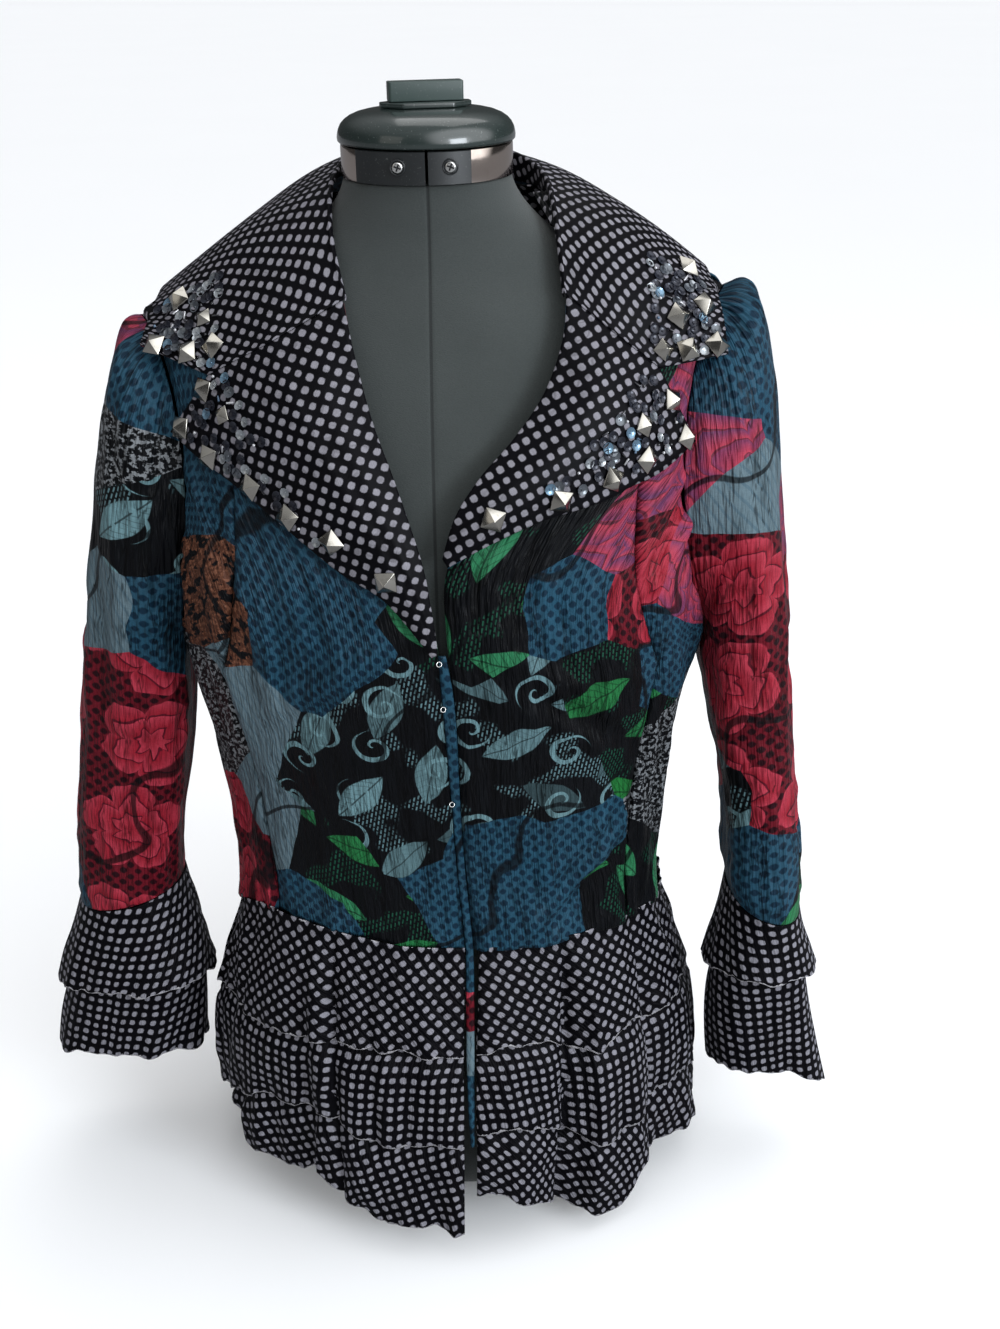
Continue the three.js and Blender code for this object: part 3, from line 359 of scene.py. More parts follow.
def cuff_point(side, tier, k, angle):
    row = CUFF[side][tier].along(np.asarray(k, float)[:, None])
    wave = 1 + lay_folds(CUFF_WAVES, angle) * (tier + 1) * np.asarray(k)[:, None] / CUFF_WAVE_SPREAD
    c, s = np.cos(np.radians(angle)), np.sin(np.radians(angle))
    return point(sign_of(side) * ((row['ox'] + row['ix']) / 2 + (row['ox'] - row['ix']) / 2 * c * wave),
                 (row['front'] + row['back']) / 2 - (row['back'] - row['front']) / 2 * s * wave,
                 (row['oz'] + row['iz']) / 2 + (row['oz'] - row['iz']) / 2 * c + row['rise'] * s)


def peplum_point(tier, side, angle, k, lift=0):
    """angle round the body in degrees, k from the seam to the hem; lift is added outwards."""
    angle, k = np.broadcast_arrays(np.asarray(angle, float), np.asarray(k, float))
    seam = WAIST_SEAM.at(angle)['z'] - SEAM_GAP
    top = seam if tier == 0 else TIER_TOP[tier]
    z = top + (TIER_EDGE[tier][side].at(angle)['z'] - top) * k
    shape = PEPLUM.at(seam - z)
    deepening = (FOLD_START_HEIGHT - z) / (FOLD_START_HEIGHT - FOLD_FULL_HEIGHT)
    out = lay_folds(PEPLUM_FOLDS, angle) * np.clip(deepening, 0, 1) + lift
    if tier > 0:
        cover = TIER_EDGE[tier - 1][side].at(angle)['z']
        hidden = np.clip((z - cover + TIER_STEP_OUT) / TIER_STEP_OUT, 0, 1)
        seated = np.clip(1 - k / TIER_SEAT_SHARE, 0, 1)
        out = out - (TIER_INSET + (TIER_SEAT - TIER_INSET) * seated) * hidden
    s = signed_power(np.sin(np.radians(angle)), 2 / shape['square'])
    c = signed_power(np.cos(np.radians(angle)), 2 / shape['square'])
    deep = np.where(c > 0, shape['front'], shape['back'])
    return point((shape['half'] + out) * s, -(deep + out) * c, z)


def gorge_line(side, tip, notch, lift, u):
    stops = np.array([*GORGE[side], tip], float) + np.array([0, 0, lift])
    places = [0, notch / 2, notch, 1]
    return point(*(np.interp(u, places, stops[:, axis]) for axis in range(3)))


def lapel_point(side, u, v):
    """u from the fold to the outer edge, v from the gorge to the end of the roll."""
    u, v = np.broadcast_arrays(np.asarray(u, float), np.asarray(v, float))
    fold, edge = LAPEL[side]['fold'], LAPEL[side]['edge']
    a, b = xyz(fold.along(v)), xyz(edge.along(v))
    straight = fold.rows[0] + (edge.rows[0] - fold.rows[0]) * u[..., None]
    bend = gorge_line(side, edge.rows[0], LAPEL_NOTCH_PLACE, 0, u) - straight
    out = a + (b - a) * u[..., None] + bend * ((1 - v) ** 1.6)[..., None]
    out[..., 1] -= LAPEL_BULGE * np.sin(np.pi * u) * np.minimum(1, v * 5) * np.sqrt(1 - v)
    return out


def collar_point(u, v):
    """u from the fold to the edge, v round the neck from the left front end to the right one."""
    u, v = np.broadcast_arrays(np.asarray(u, float), np.asarray(v, float))

    def curve(row):
        a, b, c = (1 - u) * (1 - 2 * u), 4 * u * (1 - u), u * (2 * u - 1)
        return (xyz(row, 'f') * a[..., None] + xyz(row, 'm') * b[..., None]
                + xyz(row, 'e') * c[..., None])

    out = curve(COLLAR.along(v))
    last = len(COLLAR.rows) - 1
    for side, end, away in (('left', 0, v * last), ('right', last, (1 - v) * last)):
        row = dict(zip(COLLAR.names, COLLAR.rows[end]))
        tip = [row['ex'], row['ey'], row['ez'] - COLLAR_ABOVE_LAPEL]
        bend = gorge_line(side, tip, COLLAR_NOTCH_PLACE, COLLAR_ABOVE_LAPEL, u) - curve(row)
        near = np.clip(1 - away / COLLAR_END_REACH, 0, 1) ** 1.5
        out = out + bend * near[..., None]
    return out


# Cloth: folds, crinkles and the cut
RIPPLE_KNOTS = 61  # chance heights each way, after which they repeat


def unit(vector):
    return vector / np.linalg.norm(vector)


def ripple(across, along, wide, tall, seed):
    """Smooth chance waves from about -1 to 1, of a given size across and along."""
    knots = np.random.default_rng(seed).uniform(-1, 1, (RIPPLE_KNOTS, RIPPLE_KNOTS))
    x, y = np.broadcast_arrays(np.asarray(across, float) / wide, np.asarray(along, float) / tall)
    i, j = np.floor(x).astype(int), np.floor(y).astype(int)
    fx, fy = x - i, y - j
    fx, fy = fx * fx * (3 - 2 * fx), fy * fy * (3 - 2 * fy)

    def at(a, b):
        return knots[(i + a) % RIPPLE_KNOTS, (j + b) % RIPPLE_KNOTS]

    return ((at(0, 0) * (1 - fx) + at(1, 0) * fx) * (1 - fy)
            + (at(0, 1) * (1 - fx) + at(1, 1) * fx) * fy)


def bell(value, middle, width):
    return np.exp(-(((value - middle) / width) ** 2))


def normals_of(grid, wrap=False):
    across = np.gradient(grid, axis=1)
    if wrap:
        across = np.roll(grid, -1, 1) - np.roll(grid, 1, 1)
    down = np.gradient(grid, axis=0)
    normal = np.cross(across, down)
    length = np.linalg.norm(normal, axis=-1, keepdims=True)
    return normal / np.maximum(length, 1e-9)


def lengths_of(grid):
    """Distance run along the columns of each row, and down the rows of each column."""
    across = np.zeros(grid.shape[:2])
    across[:, 1:] = np.cumsum(np.linalg.norm(np.diff(grid, axis=1), axis=-1), 1)
    down = np.zeros(grid.shape[:2])
    down[1:] = np.cumsum(np.linalg.norm(np.diff(grid, axis=0), axis=-1), 0)
    return across, down


def select_only(obj):
    bpy.ops.object.select_all(action='DESELECT')
    obj.select_set(True)
    bpy.context.view_layer.objects.active = obj


def modify(obj, kind, **settings):
    """A modifier with its settings, applied."""
    step = obj.modifiers.new('step', kind)
    for key, value in settings.items():
        setattr(step, key, value)
    select_only(obj)
    bpy.ops.object.modifier_apply(modifier='step')


def linked(name, data):
    obj = bpy.data.objects.new(name, data)
    bpy.context.scene.collection.objects.link(obj)
    return obj


def mesh_object(name, points, faces, edges=()):
    mesh = bpy.data.meshes.new(name)
    mesh.from_pydata([tuple(p) for p in points], edges, faces)
    return linked(name, mesh)


def grid_faces(rows, columns, wrap=False):
    r, c = np.meshgrid(np.arange(rows - 1), np.arange(columns if wrap else columns - 1), indexing='ij')
    nxt = (c + 1) % columns
    return np.stack([r * columns + c, r * columns + nxt, (r + 1) * columns + nxt,
                     (r + 1) * columns + c], -1).reshape(-1, 4)


def add_uv(obj, name, faces, columns, values):
    """values has one more column than the mesh where the grid closes on itself."""
    r, c = faces[:, 0] // columns, faces[:, 0] % columns
    corners = np.stack([values[r, c], values[r, c + 1], values[r + 1, c + 1], values[r + 1, c]], 1)
    layer = obj.data.uv_layers.new(name=name)
    layer.data.foreach_set('uv', corners.reshape(-1).astype(np.float32))


JOINED_REACH = 2.2  # the rim shows the outer cloth within this distance of a joined edge
NO_RAW_EDGE = 100.0  # distance from a raw edge, in mm, of cloth that has none


def cloth(name, grid, cut, hem, material, nodes, wall=1.0, wrap=False,
          base=None, lining=None, joined_edge=()):
    """A sheet of cloth on a grid of points in mm, rows down and columns across, facing outwards.

    cut is the place of each point on the flat cloth and hem its distance from a raw edge, in mm.
    """
    rows, columns = grid.shape[:2]
    faces = grid_faces(rows, columns, wrap)
    obj = mesh_object(name, grid.reshape(-1, 3) * MM, faces.tolist())
    add_uv(obj, 'cut', faces, columns, cut * MM)
    if wrap:
        hem = np.concatenate([hem, hem[:, :1]], 1)
    add_uv(obj, 'hem', faces, columns, np.stack([hem, cut[..., 0]], -1) * MM)
    obj.data.uv_layers['cut'].active_render = True
    obj.data.polygons.foreach_set('use_smooth', np.ones(len(obj.data.polygons), bool))
    obj.data.materials.append(material)
    if lining is not None:
        obj.data.materials.append(lining)
    within = int(lining is not None)
    modify(obj, 'SOLIDIFY', thickness=wall * MM, offset=-1, material_offset=within,
           material_offset_rim=within)
    for face in obj.data.polygons:
        if face.material_index and len(joined_edge):
            away = np.linalg.norm(joined_edge - np.array(face.center) / MM, axis=1).min()
            face.material_index = int(away > JOINED_REACH)
    shape = grid if base is None else base
    closed = np.concatenate([shape, shape[:, :1]], 1) if wrap else shape
    across, down = lengths_of(closed)
    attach(obj, 'root')
    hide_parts(*nodes)
    return obj


def turned(cut, degrees):
    """The flat places turned, so that the cloth's pattern lies on the bias."""
    a = math.radians(degrees)
    x, y = cut[..., 0], cut[..., 1]
    return np.stack([x * math.cos(a) - y * math.sin(a), x * math.sin(a) + y * math.cos(a)], -1)


def shift(grid, distance, wrap=False):
    return grid + normals_of(grid, wrap) * distance[..., None]


def far(shape):
    return np.full(shape, NO_RAW_EDGE)


# Shader graphs
class Signal:
    """An output in a shader tree, so that sums on it read as sums."""

    def __init__(self, graph, socket):
        self.graph, self.socket = graph, socket
        self.wide = socket.type in ('VECTOR', 'RGBA')

    __add__ = lambda self, other: self.graph.both('ADD', self, other)
    __radd__ = lambda self, other: self.graph.both('ADD', other, self)
    __sub__ = lambda self, other: self.graph.both('SUBTRACT', self, other)
    __rsub__ = lambda self, other: self.graph.both('SUBTRACT', other, self)
    __mul__ = lambda self, other: self.graph.both('MULTIPLY', self, other)
    __truediv__ = lambda self, other: self.graph.both('DIVIDE', self, other)
    __pow__ = lambda self, other: self.graph.math('POWER', self, other)
    __mod__ = lambda self, other: self.graph.math('MODULO', self, other)
    __lt__ = lambda self, other: self.graph.math('LESS_THAN', self, other)
    __gt__ = lambda self, other: self.graph.math('GREATER_THAN', self, other)
    __abs__ = lambda self: self.graph.both('ABSOLUTE', self)


class Graph:
    """Adds and joins the nodes of one shader tree."""

    def __init__(self, tree):
        self.tree = tree

    def feed(self, socket, value):
        if isinstance(value, Signal):
            self.tree.links.new(value.socket, socket)
        elif socket.type == 'RGBA':
            socket.default_value = (*value[:3], 1)
        else:
            socket.default_value = value

    def node(self, kind, *values, named=(), **settings):
        """A node with its settings. Its inputs are fed in order, or by their names."""
        node = self.tree.nodes.new('ShaderNode' + kind)
        for key, value in settings.items():
            setattr(node, key, value)
        for key, value in [*enumerate(values), *dict(named).items()]:
            if value is not None:
                self.feed(node.inputs[key], value)
        return node

    def out(self, node, key=0):
        return Signal(self, node.outputs[key])

    def math(self, operation, *values, clamp=False):
        return self.out(self.node('Math', *values, operation=operation, use_clamp=clamp))

    def vector(self, operation, *values):
        measure = operation in ('LENGTH', 'DISTANCE', 'DOT_PRODUCT')
        return self.out(self.node('VectorMath', *values, operation=operation), int(measure))

    def both(self, operation, *values):
        """Vector maths if any of the values is a vector, otherwise plain maths."""
        wide = any(v.wide if isinstance(v, Signal) else isinstance(v, tuple) for v in values)
        return (self.vector if wide else self.math)(operation, *values)

    def mix(self, share, a, b):
        return self.out(self.node('Mix', named={0: share, 6: a, 7: b}, data_type='RGBA'), 2)

    def step(self, value, low, high):
        return self.out(self.node('MapRange', value, low, high, interpolation_type='SMOOTHSTEP'))

    def split(self, vector):
        node = self.node('SeparateXYZ', vector)
        return [self.out(node, i) for i in range(3)]

    def join(self, x, y, z=0):
        return self.out(self.node('CombineXYZ', x, y, z))

    def noise(self, vector, scale, detail=2, rough=0.5):
        return self.out(self.node('TexNoise', vector, None, scale, detail, rough))

    def spin(self, vector, radians):
        return self.out(self.node('VectorRotate', vector, named={'Angle': radians}, rotation_type='Z_AXIS'))

    def turn(self, vector, degrees):
        return self.spin(vector, math.radians(degrees))

    def uv(self, name):
        return self.out(self.node('UVMap', uv_map=name))

    def place(self, kind='Object'):
        return self.out(self.node('TexCoord'), kind)

    def bump(self, height, distance, strength, under=None):
        return self.out(self.node('Bump', named={
            'Height': height, 'Distance': distance, 'Strength': strength, 'Normal': under}))

    def use(self, group, **values):
        node = self.node('Group', named=values, node_tree=group)
        return {socket.name: Signal(self, socket) for socket in node.outputs}

    def cell(self, vector, size):
        """A square lattice: the place in the cell from -0.5 to 0.5, and three chances for the cell."""
        scaled = vector / self.join(size, size, 1)
        luck = self.node('TexWhiteNoise', self.vector('FLOOR', scaled))
        return self.vector('FRACTION', scaled) - (0.5, 0.5, 0), self.out(luck, 1), self.out(luck)

    def shade(self, **values):
        """Feeds the sockets of the material's shader."""
        shader = self.tree.nodes['Principled BSDF']
        for name, value in values.items():
            self.feed(shader.inputs[name.replace('_', ' ')], value)


def node_group(name, build, outputs, **inputs):
    """A group that reads the flat place and numbers, each given with its start value."""
    tree = bpy.data.node_groups.new(name, 'ShaderNodeTree')
    tree.interface.new_socket('Flat', in_out='INPUT', socket_type='NodeSocketVector')
    for label, start in inputs.items():
        socket = tree.interface.new_socket(label, in_out='INPUT', socket_type='NodeSocketFloat')
        socket.default_value = start
    for label in outputs:
        tree.interface.new_socket(label, in_out='OUTPUT', socket_type='NodeSocketFloat')
    graph = Graph(tree)
    entry, leave = tree.nodes.new('NodeGroupInput'), tree.nodes.new('NodeGroupOutput')
    results = build(graph, *(graph.out(entry, i) for i in range(len(inputs) + 1)))
    for i, value in enumerate(results):
        graph.feed(leave.inputs[i], value)
    return tree


def build_dots(g, flat, pitch, size, soft, wander):
    push = (g.noise(flat, 70, 1) - 0.5) * wander
    inside, _, luck = g.cell(flat + g.join(push, push), pitch)
    x, y, _ = g.split(abs(inside))
    reach = (x ** 2.8 + y ** 2.8) ** (1 / 2.8)
    frayed = (g.noise(flat, 900, 1) - 0.5) * 0.09
    size = size + (luck - 0.5) * 0.05 + frayed
    return [1 - g.step(reach, size - soft, size + soft)]


def build_crinkles(g, flat, across, along):
    x, y, _ = g.split(flat)
    place = g.join(x / across, y / along)
    soft = g.noise(place, 1, 3, 0.55)
    ridge = 1 - abs(g.noise(place + (7.3, 2.1, 4), 2.3) * 2 - 1)
    # The second output marks thin crease lines, where shade is painted into the colour.
    return ridge * 0.35 + soft * 0.65, g.step(ridge, 0.9, 0.99) * g.step(soft, 0.6, 0.42)


def build_weave(g, flat, thread):
    x, y, _ = g.split(flat)
    over = g.math('SINE', x / (thread / 6.283)) * g.math('SINE', y / (thread / 4.4))
    slub = g.noise(flat * (260, 1900, 1), 1, 1)
    return over * 0.25 + slub, slub


def build_curls(g, flat, size):
    inside, luck, _ = g.cell(flat, size)
    lx, ly, lz = g.split(luck)
    x, y, _ = g.split(inside + (luck - (0.5, 0.5, 0.5)) * (0.3, 0.3, 0))
    angle = g.math('ARCTAN2', y * ((lz > 0.5) * 2 - 1), x) / 6.2832
    reach = g.vector('LENGTH', g.join(x, y))
    line = abs(g.math('FRACT', reach * 3.5 + (angle + lx)) - 0.5)
    width = reach * 0.55 + 0.04
    return [(1 - g.step(line, width * 0.8, width)) * (1 - g.step(reach, 0.34, 0.36)) * (ly > 0.22)]


def build_dashes(g, flat, size):
    x, y, _ = g.split(flat / g.join(size, size * 1.9, 1))
    y = y + g.math('FLOOR', x) % 2 * 0.5
    x, y = (abs(g.math('FRACT', value) - 0.5) for value in (x, y))
    return [(1 - g.step(x, 0.14, 0.26)) * (1 - g.step(y, 0.28, 0.42))]


def build_leaves(g, flat, size):
    inside, luck, _ = g.cell(flat, size)
    lean, _, tone = g.split(luck)
    x, y, _ = g.split(g.spin(inside, lean * 2.4 + 0.3))
    half = (1 - abs(y * 2.15) ** 1.8) * 0.2
    side = abs(x)
    rib = 1 - g.step(side, 0.006, 0.014)
    vein = 1 - g.step(abs(g.math('FRACT', y * 11 + side * 9) - 0.5), 0.05, 0.12)
    return 1 - g.step(side, half - 0.015, half), g.math('MAXIMUM', rib, vein * 0.6), tone


def build_blossoms(g, flat, size):
    inside, luck, _ = g.cell(flat, size)
    x, y, _ = g.split(inside + (luck - (0.5, 0.5, 0.5)) * (0.16, 0.16, 0))
    angle = g.math('ARCTAN2', y, x) + g.split(luck)[0] * 6.28
    reach = g.vector('LENGTH', g.join(x, y)) + (g.noise(flat, 55) - 0.5) * 0.16
    share = reach / (abs(g.math('SINE', angle * 2.5)) ** 0.5 * 0.17 + 0.3)
    second = abs(g.math('SINE', angle * 3.5 + reach * 6))
    ring = g.math('FRACT', share * 2.6 + second * 0.35)
    tone = g.math('MULTIPLY', ring, share * 0.45 + 0.55, clamp=True)
    return 1 - g.step(share, 0.97, 1), tone, 1 - g.step(abs(ring - 0.06), 0.03, 0.075)


# Sizes are in metres on the flat cloth; a dot's size, softness and wander are in pitches
dots_group = node_group('printed_dots', build_dots, ['Dot'], Pitch=0.007, Size=0.31, Soft=0.05,
                        Wander=0.0012)
crinkle_group = node_group('cloth_crinkles', build_crinkles, ['Height', 'Crease_Shade'], Across=0.006, Along=0.05)
weave_group = node_group('satin_weave', build_weave, ['Height', 'Shade'], Thread=0.0006)
curls_group = node_group('scroll_curls', build_curls, ['Mask'], Size=0.04)
dashes_group = node_group('small_dashes', build_dashes, ['Mask'], Size=0.0024)
leaves_group = node_group('leaf_shapes', build_leaves, ['Mask', 'Vein', 'Tone'], Size=0.06)
blossom_group = node_group('blossom_shapes', build_blossoms, ['Mask', 'Tone', 'Line'], Size=0.075)


def new_material(name, **constants):
    """A material and its graph. Constant values are set on the shader's own sockets."""
    material = bpy.data.materials.new(name)
    material.use_nodes = True
    graph = Graph(material.node_tree)
    graph.shade(**constants)
    return material, graph


def finish_cloth(g, flat, colour, crinkles, depth, rough, painted_fold_shade, hem=None):
    """Weave, crinkles with painted shade in their valleys and along their creases, and the pale thread of a
    raw edge, on a cloth of the given colour.
    """
    weave = g.use(weave_group, Flat=flat, Thread=0.0007)
    folds = g.use(crinkle_group, Flat=flat, Across=crinkles[0], Along=crinkles[1])
    height = folds['Height']
    # Painted shade: the colour darkens towards black in the crinkles' valleys and along their thin crease
    # lines.
    valley_shade = g.math('MAXIMUM', 1 - g.step(height, 0.4, 0.62), folds['Crease_Shade'])
    shaded = g.mix(valley_shade * painted_fold_shade, g.mix(weave['Shade'] * 0.35, colour, SLUB_AND_FOLD_SHADE), SLUB_AND_FOLD_SHADE)
    if hem is not None:
        away, run, _ = g.split(g.uv('hem'))
        ragged = g.noise(g.join(run, 0), 190, 3) * 0.0052 - 0.0019
        shaded = g.mix((away < ragged) * 0.8, shaded, hem)
    g.shade(Base_Color=shaded, Roughness=height * 0.16 + rough,
            Normal=g.bump(weave['Height'], 0.00012, 0.6, g.bump(height, depth, 0.9)))


def dotted_cloth(name, ground, dot, size, crinkles, depth, rough, wander):
    material, g = new_material(name, Sheen_Weight=0.006, Sheen_Roughness=0.45, Specular_IOR_Level=0.06)
    flat = g.uv('cut')
    mask = g.use(dots_group, Flat=flat, Size=size, Wander=wander)['Dot']
    worn = g.math('MULTIPLY_ADD', g.noise(flat, 1400), 0.5, 0.62, clamp=True)
    finish_cloth(g, flat, g.mix(mask * worn, ground, dot), crinkles, depth, rough, 0.35, RAW_THREAD)
    return material


# Black that the weave's slubs darken the cloth towards, and the painted shade of its folds.
SLUB_AND_FOLD_SHADE, RAW_THREAD = (0, 0, 0), (0.42, 0.41, 0.43)
TEAL, NAVY, BLACK = (0.01, 0.064, 0.112), (0.002, 0.011, 0.027), (0.002, 0.0024, 0.0036)
AQUA, GREYBLUE, SLATE = (0.16, 0.29, 0.32), (0.085, 0.13, 0.155), (0.125, 0.185, 0.215)
GREEN, SEA_GREEN, DASH_GREEN = (0.012, 0.15, 0.026), (0.03, 0.2, 0.09), (0.02, 0.16, 0.09)
MAUVE, CRIMSON, PINK = (0.15, 0.04, 0.11), (0.26, 0.008, 0.019), (0.47, 0.045, 0.075)
OXBLOOD, DARK_RED, BLACK_RED = (0.13, 0.006, 0.014), (0.06, 0.004, 0.012), (0.02, 0.002, 0.005)
BROWN, RUST, PALE, DOT_GREY = (0.1, 0.036, 0.02), (0.2, 0.08, 0.045), (0.22, 0.235, 0.25), (0.37, 0.36, 0.4)
MOTIFS = ['dots', 'scrolls', 'leaves', 'red', 'lace', 'tawny', 'plain', 'rose', 'trim', 'wine']


def nearest_kind(g, place, sites):
    """Which motif is at a place: that of the nearest site. A site is x, y in mm and a motif."""
    best = None
    for x, y, motif in (site.split() for site in sites.split('/')):
        away = g.vector('DISTANCE', place, (float(x) * MM, float(y) * MM, 0))
        number = float(MOTIFS.index(motif))
        if best is None:
            best, kind = away, g.out(g.node('Value'))
            kind.socket.default_value = number
        else:
            nearer = away < best
            best = g.math('MINIMUM', away, best)
            kind = g.math('MULTIPLY_ADD', number - kind, nearer, kind)
    return kind


def printed_cloth(name, sites, crinkles=(0.0075, 0.075), depth=0.009):
    """A collage print, whose patches lie round the given sites on the flat cloth."""
    material, g = new_material(name, Sheen_Weight=0.01, Sheen_Roughness=0.4, Specular_IOR_Level=0.11)
    flat = g.uv('cut')
    uneven = (g.noise(flat, 22) - 0.5) * 0.009
    other = (g.noise(g.turn(flat, 70), 14, 1) - 0.5) * 0.03
    kind = nearest_kind(g, flat + g.join(uneven + other, uneven), sites)
    slant = g.turn(flat, 45)
    dots = g.use(dots_group, Flat=slant, Pitch=0.0064, Size=0.33, Soft=0.07)['Dot']
    curls = g.use(curls_group, Flat=g.turn(flat, 20), Size=0.037)['Mask']
    strokes = g.use(dashes_group, Flat=g.turn(flat, 12))['Mask']
    fronds = g.use(leaves_group, Flat=g.turn(flat + (0.021, 0.013, 0), -27), Size=0.052)
    leaves = g.use(leaves_group, Flat=g.turn(flat, 33), Size=0.058)
    bloom = g.use(blossom_group, Flat=g.turn(flat, 8), Size=0.074)
    dashes = strokes * g.step(g.noise(flat, 34, 1), 0.54, 0.58) * 0.75
    speck = g.step(g.noise(flat, 310, 2, 0.6), 0.5, 0.56)
    blotch = g.step(g.noise(flat, 120, 2, 0.55), 0.52, 0.56)
    lines = g.step(g.math('FRACT', g.split(g.turn(flat, -30))[0] * 190), 0.7, 0.8)
    cloudy = g.noise(flat, 24)
    frond = g.mix(g.math('MAXIMUM', fronds['Vein'], fronds['Tone']) * 0.8, AQUA, BLACK)
    leaf = g.mix(leaves['Vein'] * 0.7, g.mix(leaves['Tone'], GREEN, SEA_GREEN), BLACK)
    flower = g.mix(bloom['Line'] * 0.85, g.mix(bloom['Tone'], CRIMSON, PINK), DARK_RED)
    motifs = [
        g.mix(dots * 0.82, g.mix(cloudy * 0.25, TEAL, GREYBLUE), NAVY),
        g.mix(curls * 0.9, g.mix(fronds['Mask'], g.mix(dashes, BLACK, AQUA), frond), AQUA),
        g.mix(leaves['Mask'], g.mix(dashes * 0.6, BLACK, DASH_GREEN), leaf),
        g.mix(bloom['Mask'], g.mix(dots, OXBLOOD, BLACK_RED), flower),
        g.mix(speck, BLACK, PALE),
        g.mix(blotch, g.mix(speck, BROWN, RUST), BLACK),
        g.mix(lines * 0.3, SLATE, TEAL),
        g.mix(bloom['Line'] * 0.7, g.mix(bloom['Tone'], PINK, MAUVE), NAVY),
        g.mix(g.use(dots_group, Flat=slant, Size=0.28)['Dot'], BLACK, DOT_GREY),
        g.mix(cloudy, CRIMSON, PINK)]
    colour = motifs[0]
    for number, motif in enumerate(motifs[1:], 1):
        colour = g.mix(g.math('COMPARE', kind, float(number), 0.3), colour, motif)
    bent = g.noise(flat, 11, 1) * 1.3 + g.split(g.turn(flat, 38))[0] * 8.5
    branch = 1 - g.step(abs(g.math('FRACT', bent) - 0.5), 0.014, 0.026)
    faded = g.step(g.noise(flat * (150, 14, 1), 1, 3), 0.35, 0.75)
    colour = g.mix(faded * 0.012, g.mix(branch * 0.85, colour, BLACK), GREYBLUE)
    finish_cloth(g, flat, colour, crinkles, depth, 0.33, 0.72)
    return material


# Finishes
collar_cloth = dotted_cloth('dotted_satin', (0.0026, 0.0024, 0.0038), (0.285, 0.275, 0.31), 0.28,
                            (0.03, 0.05), 0.0009, 0.4, 0.0013)
ruffle_cloth = dotted_cloth('dotted_crinkle', (0.0018, 0.0016, 0.003), (0.29, 0.285, 0.325), 0.275,
                            (0.0065, 0.045), 0.0042, 0.46, 0.0032)
fronts_print = printed_cloth('collage_fronts', '''
    -40 300 dots / -110 280 dots / -75 215 dots / -30 175 scrolls / -80 130 scrolls / -125 150 plain /
    -150 235 tawny / -135 70 plain / -85 55 leaves / -35 85 scrolls / -45 20 leaves / -100 5 dots /
    -12 40 dots / -175 120 lace / -185 30 red / 45 310 leaves / 25 245 leaves / 75 250 dots /
    95 300 rose / 125 250 red / 50 190 scrolls / 95 195 leaves / 20 135 scrolls / 70 125 scrolls /
    115 140 leaves / 30 70 dots / 75 75 dots / 50 20 dots / 100 30 leaves / 140 190 dots / 150 90 lace /
    170 250 rose / 8 480 trim / 35 500 trim / 8 435 trim / -8 480 trim / -8 435 trim''')
back_print = printed_cloth('collage_back', '''
    -100 380 dots / 0 400 red / 90 370 scrolls / -60 300 scrolls / 40 310 dots / 120 290 leaves /
    -130 240 red / -20 220 leaves / 75 215 red / -90 150 dots / 10 140 scrolls / 125 150 plain /
    -140 60 tawny / -40 60 rose / 55 50 dots / 130 40 lace / 0 480 trim / 60 485 trim / -60 485 trim''')
left_sleeve_print = printed_cloth('collage_left_sleeve', '''
    10 15 rose / -60 30 dots / 70 40 dots / 0 80 lace / -50 75 lace / -70 110 scrolls / 60 110 scrolls /
    10 140 scrolls / -90 180 dots / 90 170 plain / -25 185 plain / 20 235 red / -50 240 red / 70 230 red /
    -30 275 red / 40 285 red / -95 300 red / 100 310 red / 0 345 red / -60 390 red / 70 395 red /
    5 420 dots''')
right_sleeve_print = printed_cloth('collage_right_sleeve', '''
    0 15 dots / 70 40 dots / -60 45 dots / 10 80 dots / -80 120 rose / 85 95 rose / 60 125 plain /
    0 145 rose / 70 165 red / -70 190 red / 60 205 red / 0 205 red / -90 260 scrolls / 0 265 red /
    70 270 red / -50 310 red / 30 330 red / 95 330 scrolls / -20 372 dots / 60 385 dots / -80 390 dots /
    0 425 leaves''')
facing_print = printed_cloth('facing_print', '''
    0 30 dots / 0 75 plain / 0 95 red / 0 130 dots / 0 250 dots / 0 330 dots''', (0.004, 0.03), 0.0006)
collar_lining = printed_cloth('collar_lining', '''
    -200 240 wine / 60 250 dots / -270 120 dots / 220 120 dots''', (0.02, 0.05), 0.0006)


# Bodice
PANEL_STEP = 3.0  # mm between the grid points of a panel
SEAM_DIP = 0.9  # how far a panel's edge turns in at a seam
HALF_GAP = 0.0006  # half the gap of an upright seam, as a share of a front's width
PANEL_END = 0.9994  # share of a half's width where its cloth ends, at the side seam
panel_rows = np.concatenate([np.linspace(0, 1, 68), np.linspace(1, 2, 92)[1:]])


def crinkle_of(x, y, seed, strength=1.0):
    """Lengthwise crinkles of the thin cloth, standing outwards."""
    return strength * (1.1 + 1.7 * ripple(x, y, 14, 105, seed)
                       + 1.3 * ripple(x + 0.12 * y, y, 8.5, 62, seed + 1)
                       + 0.75 * ripple(x - 0.1 * y, y, 6, 34, seed + 2))


def panel_cut(side, us, vs):
    """Flat places of a front's points: distance from its front edge, and height above the waist."""
    fine = np.linspace(0, us.max(), 90)
    full = bodice_point(side, 'front', fine[None, :], vs[:, None])
    run = lengths_of(full)[0]
    x = np.array([np.interp(us, fine, row) for row in run]) * sign_of(side)
    y = lengths_of(bodice_point(side, 'front', us[None, :], vs[:, None]))[1]
    return np.stack([x, y], -1)


